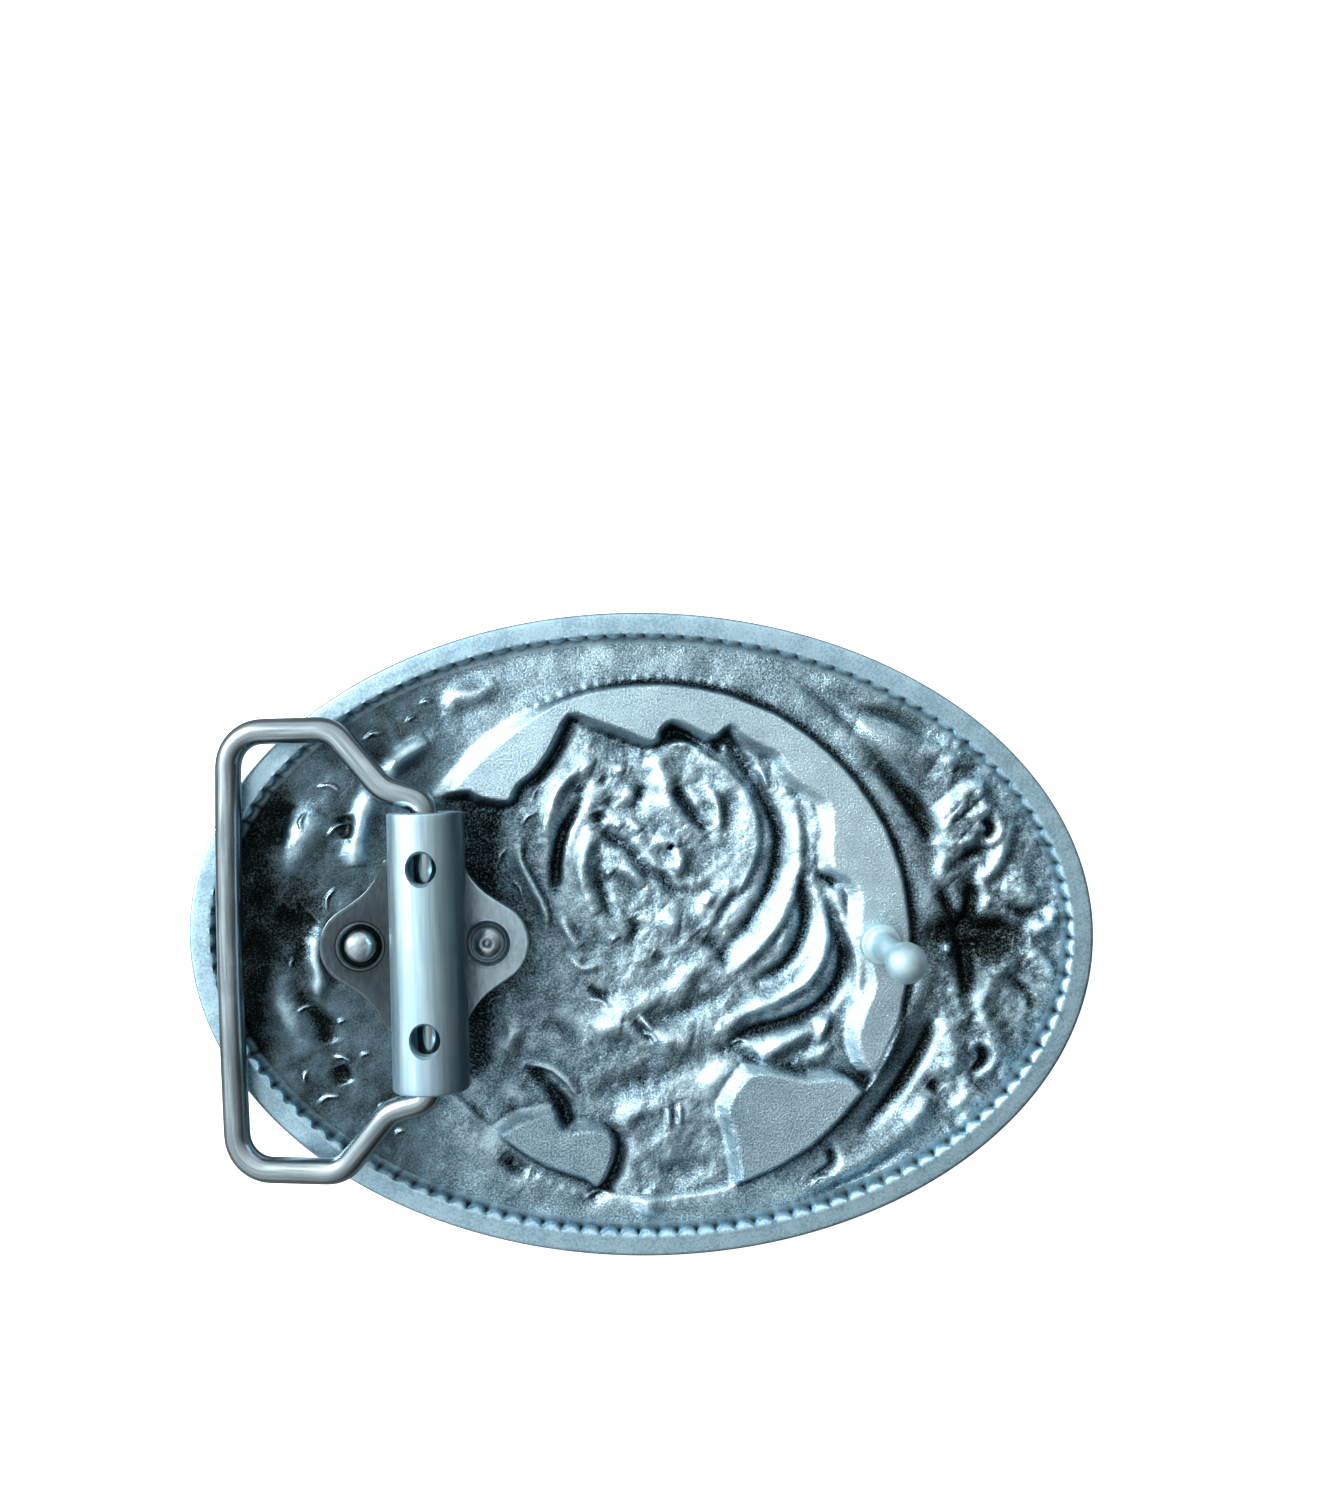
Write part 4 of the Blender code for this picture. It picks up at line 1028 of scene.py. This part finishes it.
def makeRivets():
    # dome: quarter ellipse of radius and height, with a foot flange; the right one has a nipple
    radius, foot, crown = rivets["radius"], rivets["foot"], rivets["foot"] + rivets["dome"]
    for name, nodeName, side in (("rivetLeft", "rivet_left", -1), ("rivetRight", "rivet_right", 1)):
        profile = []
        begin = 0
        if side > 0:
            for turn in np.radians(np.arange(0, 91, 18)):
                profile.append((0.3 * np.sin(turn), crown + 0.1 * np.cos(turn)))
            profile += [(0.42, crown - 0.1), (0.55, crown - 0.03)]
            begin = 26
        for turn in np.radians(np.arange(begin, 91, 8)):
            profile.append((radius * np.sin(turn), foot + 0.1 + rivets["dome"] * np.cos(turn)))
        profile += [(radius + 0.02, foot + 0.02), (radius - 0.1, foot - 0.2), (1, foot - 0.3), (1, 2),
                    (0, 2)]
        centre = (side * saddle["pitch"] / 2 - tubeOffset, 0.0)
        shape = revolve(profile, 64, centre)
        bulge = shape[..., 2] > foot + 0.3
        dents = lumps(shape[..., 0], shape[..., 1], 0.9, 81 + side, 2)
        shape[..., 2] += np.where(bulge, 0.05 * dents, 0)
        if side < 0:
            shape[0, :, 2] = shape[0, :, 2].mean()
        dark = np.clip((foot + 0.35 - shape[..., 2]) / 0.4, 0, 1) * 0.9
        faces = gridFaces(len(profile), 64, wrapColumns=True)
        putPiece(name, bracketPlaces(shape).reshape(-1, 3), faces, rivetDome, nodeName,
                 marks={"patinaAndShading": 0.6 * dark.ravel()}, sharp=60, flip=True)


makeRivets()

bail = {"wire": 2.65, "reach": 21.1, "width": 45.3, "corner": 3.7, "shoulder": 9.7, "shoulderRound": 3.2,
        "neck": 4.4, "neckRise": 1.3, "neckRound": 3.2, "throat": 1.1, "throatRound": 1.9, "gap": 3.0,
        "clear": 0.3}


def makeBail():
    # a circle carried along the flat bent line, which leans down from the hinge to the rim
    mouth = barrel["half"] + bail["throat"]
    half = bail["width"] / 2
    corners = ((0, bail["gap"] / 2, 0), (0, mouth, bail["throatRound"]),
               (bail["neck"], mouth + bail["neckRise"], bail["neckRound"]),
               (bail["shoulder"], half, bail["shoulderRound"]), (bail["reach"], half, bail["corner"]),
               (bail["reach"], 0, 0))
    upper = evenly(roundedCorners(corners, 4), 190)
    line = np.vstack([upper, upper[-2::-1] * [1, -1]])
    path = line.copy()
    for _ in range(3):
        path[1:-1] = (path[:-2] + 2 * path[1:-1] + path[2:]) / 4
    bow = 0.22 * np.sin(np.pi * np.clip((path[:, 1] + 19) / 38, 0, 1)) * (path[:, 0] > bail["reach"] - 1.5)
    path[:, 0] += bow * 1.3
    drop = math.asin((axisHeight - rimTop - bail["wire"] / 2 - bail["clear"]) / bail["reach"])
    ahead = np.gradient(path, axis=0)
    ahead /= np.hypot(*ahead.T)[:, None]
    side = np.stack([-ahead[:, 1], ahead[:, 0]], axis=1)
    angle = np.linspace(0, 2 * np.pi, 32, endpoint=False)
    radius = bail["wire"] / 2
    flat = path[:, None, :] + side[:, None, :] * (radius * np.cos(angle))[None, :, None]
    lift = radius * np.sin(angle)[None, :] + 0 * path[:, :1]
    first = np.repeat(path[:1], 32, axis=0)[None]
    last = np.repeat(path[-1:], 32, axis=0)[None]
    flat = np.concatenate([first, flat, last])
    lift = np.vstack([np.zeros((1, 32)), lift, np.zeros((1, 32))])
    outward = flat[..., 0]
    x = -outward * math.cos(drop) - lift * math.sin(drop)
    z = axisHeight - outward * math.sin(drop) + lift * math.cos(drop)
    verts = bracketPlaces(np.stack([x, flat[..., 1] + 0 * x, z], axis=2))
    faces = gridFaces(verts.shape[0], 32, wrapColumns=True)
    length = np.concatenate([[0], np.cumsum(np.hypot(*np.diff(path, axis=0).T))])
    length = np.concatenate([[0], length, length[-1:]])[:, None] + 0 * angle
    around = np.stack([radius * np.cos(angle) + 0 * length, length, radius * np.sin(angle) + 0 * length],
                      axis=2)
    putPiece("bailLoop", verts.reshape(-1, 3), faces, bailWire, "bail", "bail_body",
             marks={"drawn": around * mm}, sharp=50, flip=True)


makeBail()

stud = {"x": 25.2, "y": -0.8, "base": 3.5, "collar": 2.2, "collarTop": 5.0, "neck": 1.3, "ball": 2.1,
        "rise": 6.2, "lean": 16, "heading": -34, "round": 0.35}


def makeStud():
    # circles of the profile's radius carried up an axis that bends over above the collar
    collar, collarTop, neck, soft = stud["collar"], stud["collarTop"], stud["neck"], stud["round"]
    profile = [(0.0, stud["base"]), (collar, stud["base"]), (collar, collarTop - soft)]
    for turn in np.radians((15, 35, 55, 75, 90)):
        profile.append((collar - soft * (1 - np.cos(turn)), collarTop - soft + soft * np.sin(turn)))
    profile += [(neck + 0.25, collarTop + 0.04), (neck + 0.05, collarTop + 0.25)]
    ballHeight = collarTop + stud["rise"]
    start = math.asin(neck / stud["ball"])
    neckTop = ballHeight - stud["ball"] * math.cos(start)
    for height in np.linspace(collarTop + 0.6, neckTop - 0.15, 6):
        profile.append((neck, height))
    for turn in np.linspace(start, math.pi, 22):
        profile.append((stud["ball"] * math.sin(turn), ballHeight - stud["ball"] * math.cos(turn)))
    shape = revolve(profile, 64)
    over = np.clip(shape[..., 2] - collarTop, 0, None)
    lean = math.radians(stud["lean"])
    heading = math.radians(stud["heading"])
    bent = over > 0
    rise = collarTop + over * math.cos(lean)
    out = shape[..., 0] * math.cos(heading) + shape[..., 1] * math.sin(heading)
    sideways = -shape[..., 0] * math.sin(heading) + shape[..., 1] * math.cos(heading)
    outTilt = np.where(bent, out * math.cos(lean) + over * math.sin(lean), out)
    z = np.where(bent, rise - out * math.sin(lean) * np.clip(over / 0.8, 0, 1), shape[..., 2])
    x = stud["x"] + outTilt * math.cos(heading) - sideways * math.sin(heading)
    y = stud["y"] + outTilt * math.sin(heading) + sideways * math.cos(heading)
    z += 0.02 * lumps(x, y, 1.2, 91, 2)
    verts = np.stack([x, y, z], axis=2)
    faces = gridFaces(len(profile), 64, wrapColumns=True)
    putPiece("hookStud", verts.reshape(-1, 3), faces, studMatt, "hook_stud", sharp=50)


makeStud()
print("hardware placed")

# floor, light and camera

reach = 4  # half of the floor's side, in metres
corners = [(-reach, -reach, 0), (reach, -reach, 0), (reach, reach, 0), (-reach, reach, 0)]
floorMesh = bpy.data.meshes.new("studioFloor")
floorMesh.from_pydata(corners, [], [(0, 1, 2, 3)])
studioFloor = bpy.data.objects.new("studioFloor", floorMesh)
scene.collection.objects.link(studioFloor)
floorPaint = bpy.data.materials.new("floorPaint")
floorPaint.use_nodes = True
ground = floorPaint.node_tree
straight = node(ground, "ShaderNodeLightPath").outputs["Is Camera Ray"]
feed(ground, ground.nodes["Principled BSDF"], Roughness=0.9, Emission_Color=(1, 1, 1, 1),
     Emission_Strength=straight, Base_Color=mixColour(ground, straight, (0.13, 0.14, 0.14), (0.9, 0.9, 0.9)))
floorMesh.materials.append(floorPaint)

studio = {"stops": ((0.0, 0.03), (0.12, 0.11), (0.27, 0.34), (0.4, 0.6), (0.5, 0.76), (0.68, 1.1),
                    (1.0, 1.25)),
          "tint": (0.95, 0.99, 1.0), "keyPower": 1.3, "keySize": 0.1, "keyPlace": (-0.3, 0.12, 0.2)}
world = bpy.data.worlds.new("studioWorld")
scene.world = world
world.use_nodes = True
sky = world.node_tree
direction = node(sky, "ShaderNodeTexCoord").outputs["Generated"]
parts = feed(sky, node(sky, "ShaderNodeSeparateXYZ"), Vector=direction).outputs
upward = maths(sky, "MULTIPLY_ADD", parts[1], 0.34, 0.5)
leftness = maths(sky, "MULTIPLY_ADD", parts[0], -0.43, upward)
tones = [(at, tuple(level * part / 2 for part in studio["tint"])) for at, level in studio["stops"]]
glow = ramp(sky, leftness, tones)
lifted = ramp(sky, maths(sky, "ADD", parts[2], 0.02, clamp=True), ((0.0, 0.02), (0.26, 1.0)))
glow = mixColour(sky, 1.0, glow, lifted, "MULTIPLY")
lookedAt = node(sky, "ShaderNodeLightPath").outputs["Is Camera Ray"]
seen = mixColour(sky, lookedAt, glow, (0.5, 0.5, 0.5))
feed(sky, sky.nodes["Background"], Color=seen, Strength=2.0)


def addPanel(name, place, size, power, colour):
    lamp = bpy.data.lights.new(name, "AREA")
    lamp.shape = "DISK"
    lamp.size = size
    lamp.energy = power
    lamp.color = colour
    holder = bpy.data.objects.new(name, lamp)
    holder.location = place
    aim = -holder.location
    holder.rotation_euler = aim.to_track_quat("-Z", "Y").to_euler()
    scene.collection.objects.link(holder)


addPanel("keyPanel", studio["keyPlace"], studio["keySize"], studio["keyPower"], (0.96, 0.99, 1.0))

lens = bpy.data.cameras.new("viewCamera")
lens.sensor_width = 36
lens.lens = 33.44
lens.clip_start = 0.005
lens.clip_end = 10
viewCamera = bpy.data.objects.new("viewCamera", lens)
viewCamera.location = (0.0018, 0.019, 0.151)
viewCamera.rotation_euler = (0, 0, math.radians(0.5))
scene.collection.objects.link(viewCamera)
scene.camera = viewCamera
scene.view_settings.view_transform = "Standard"
print("floor, light and camera placed")
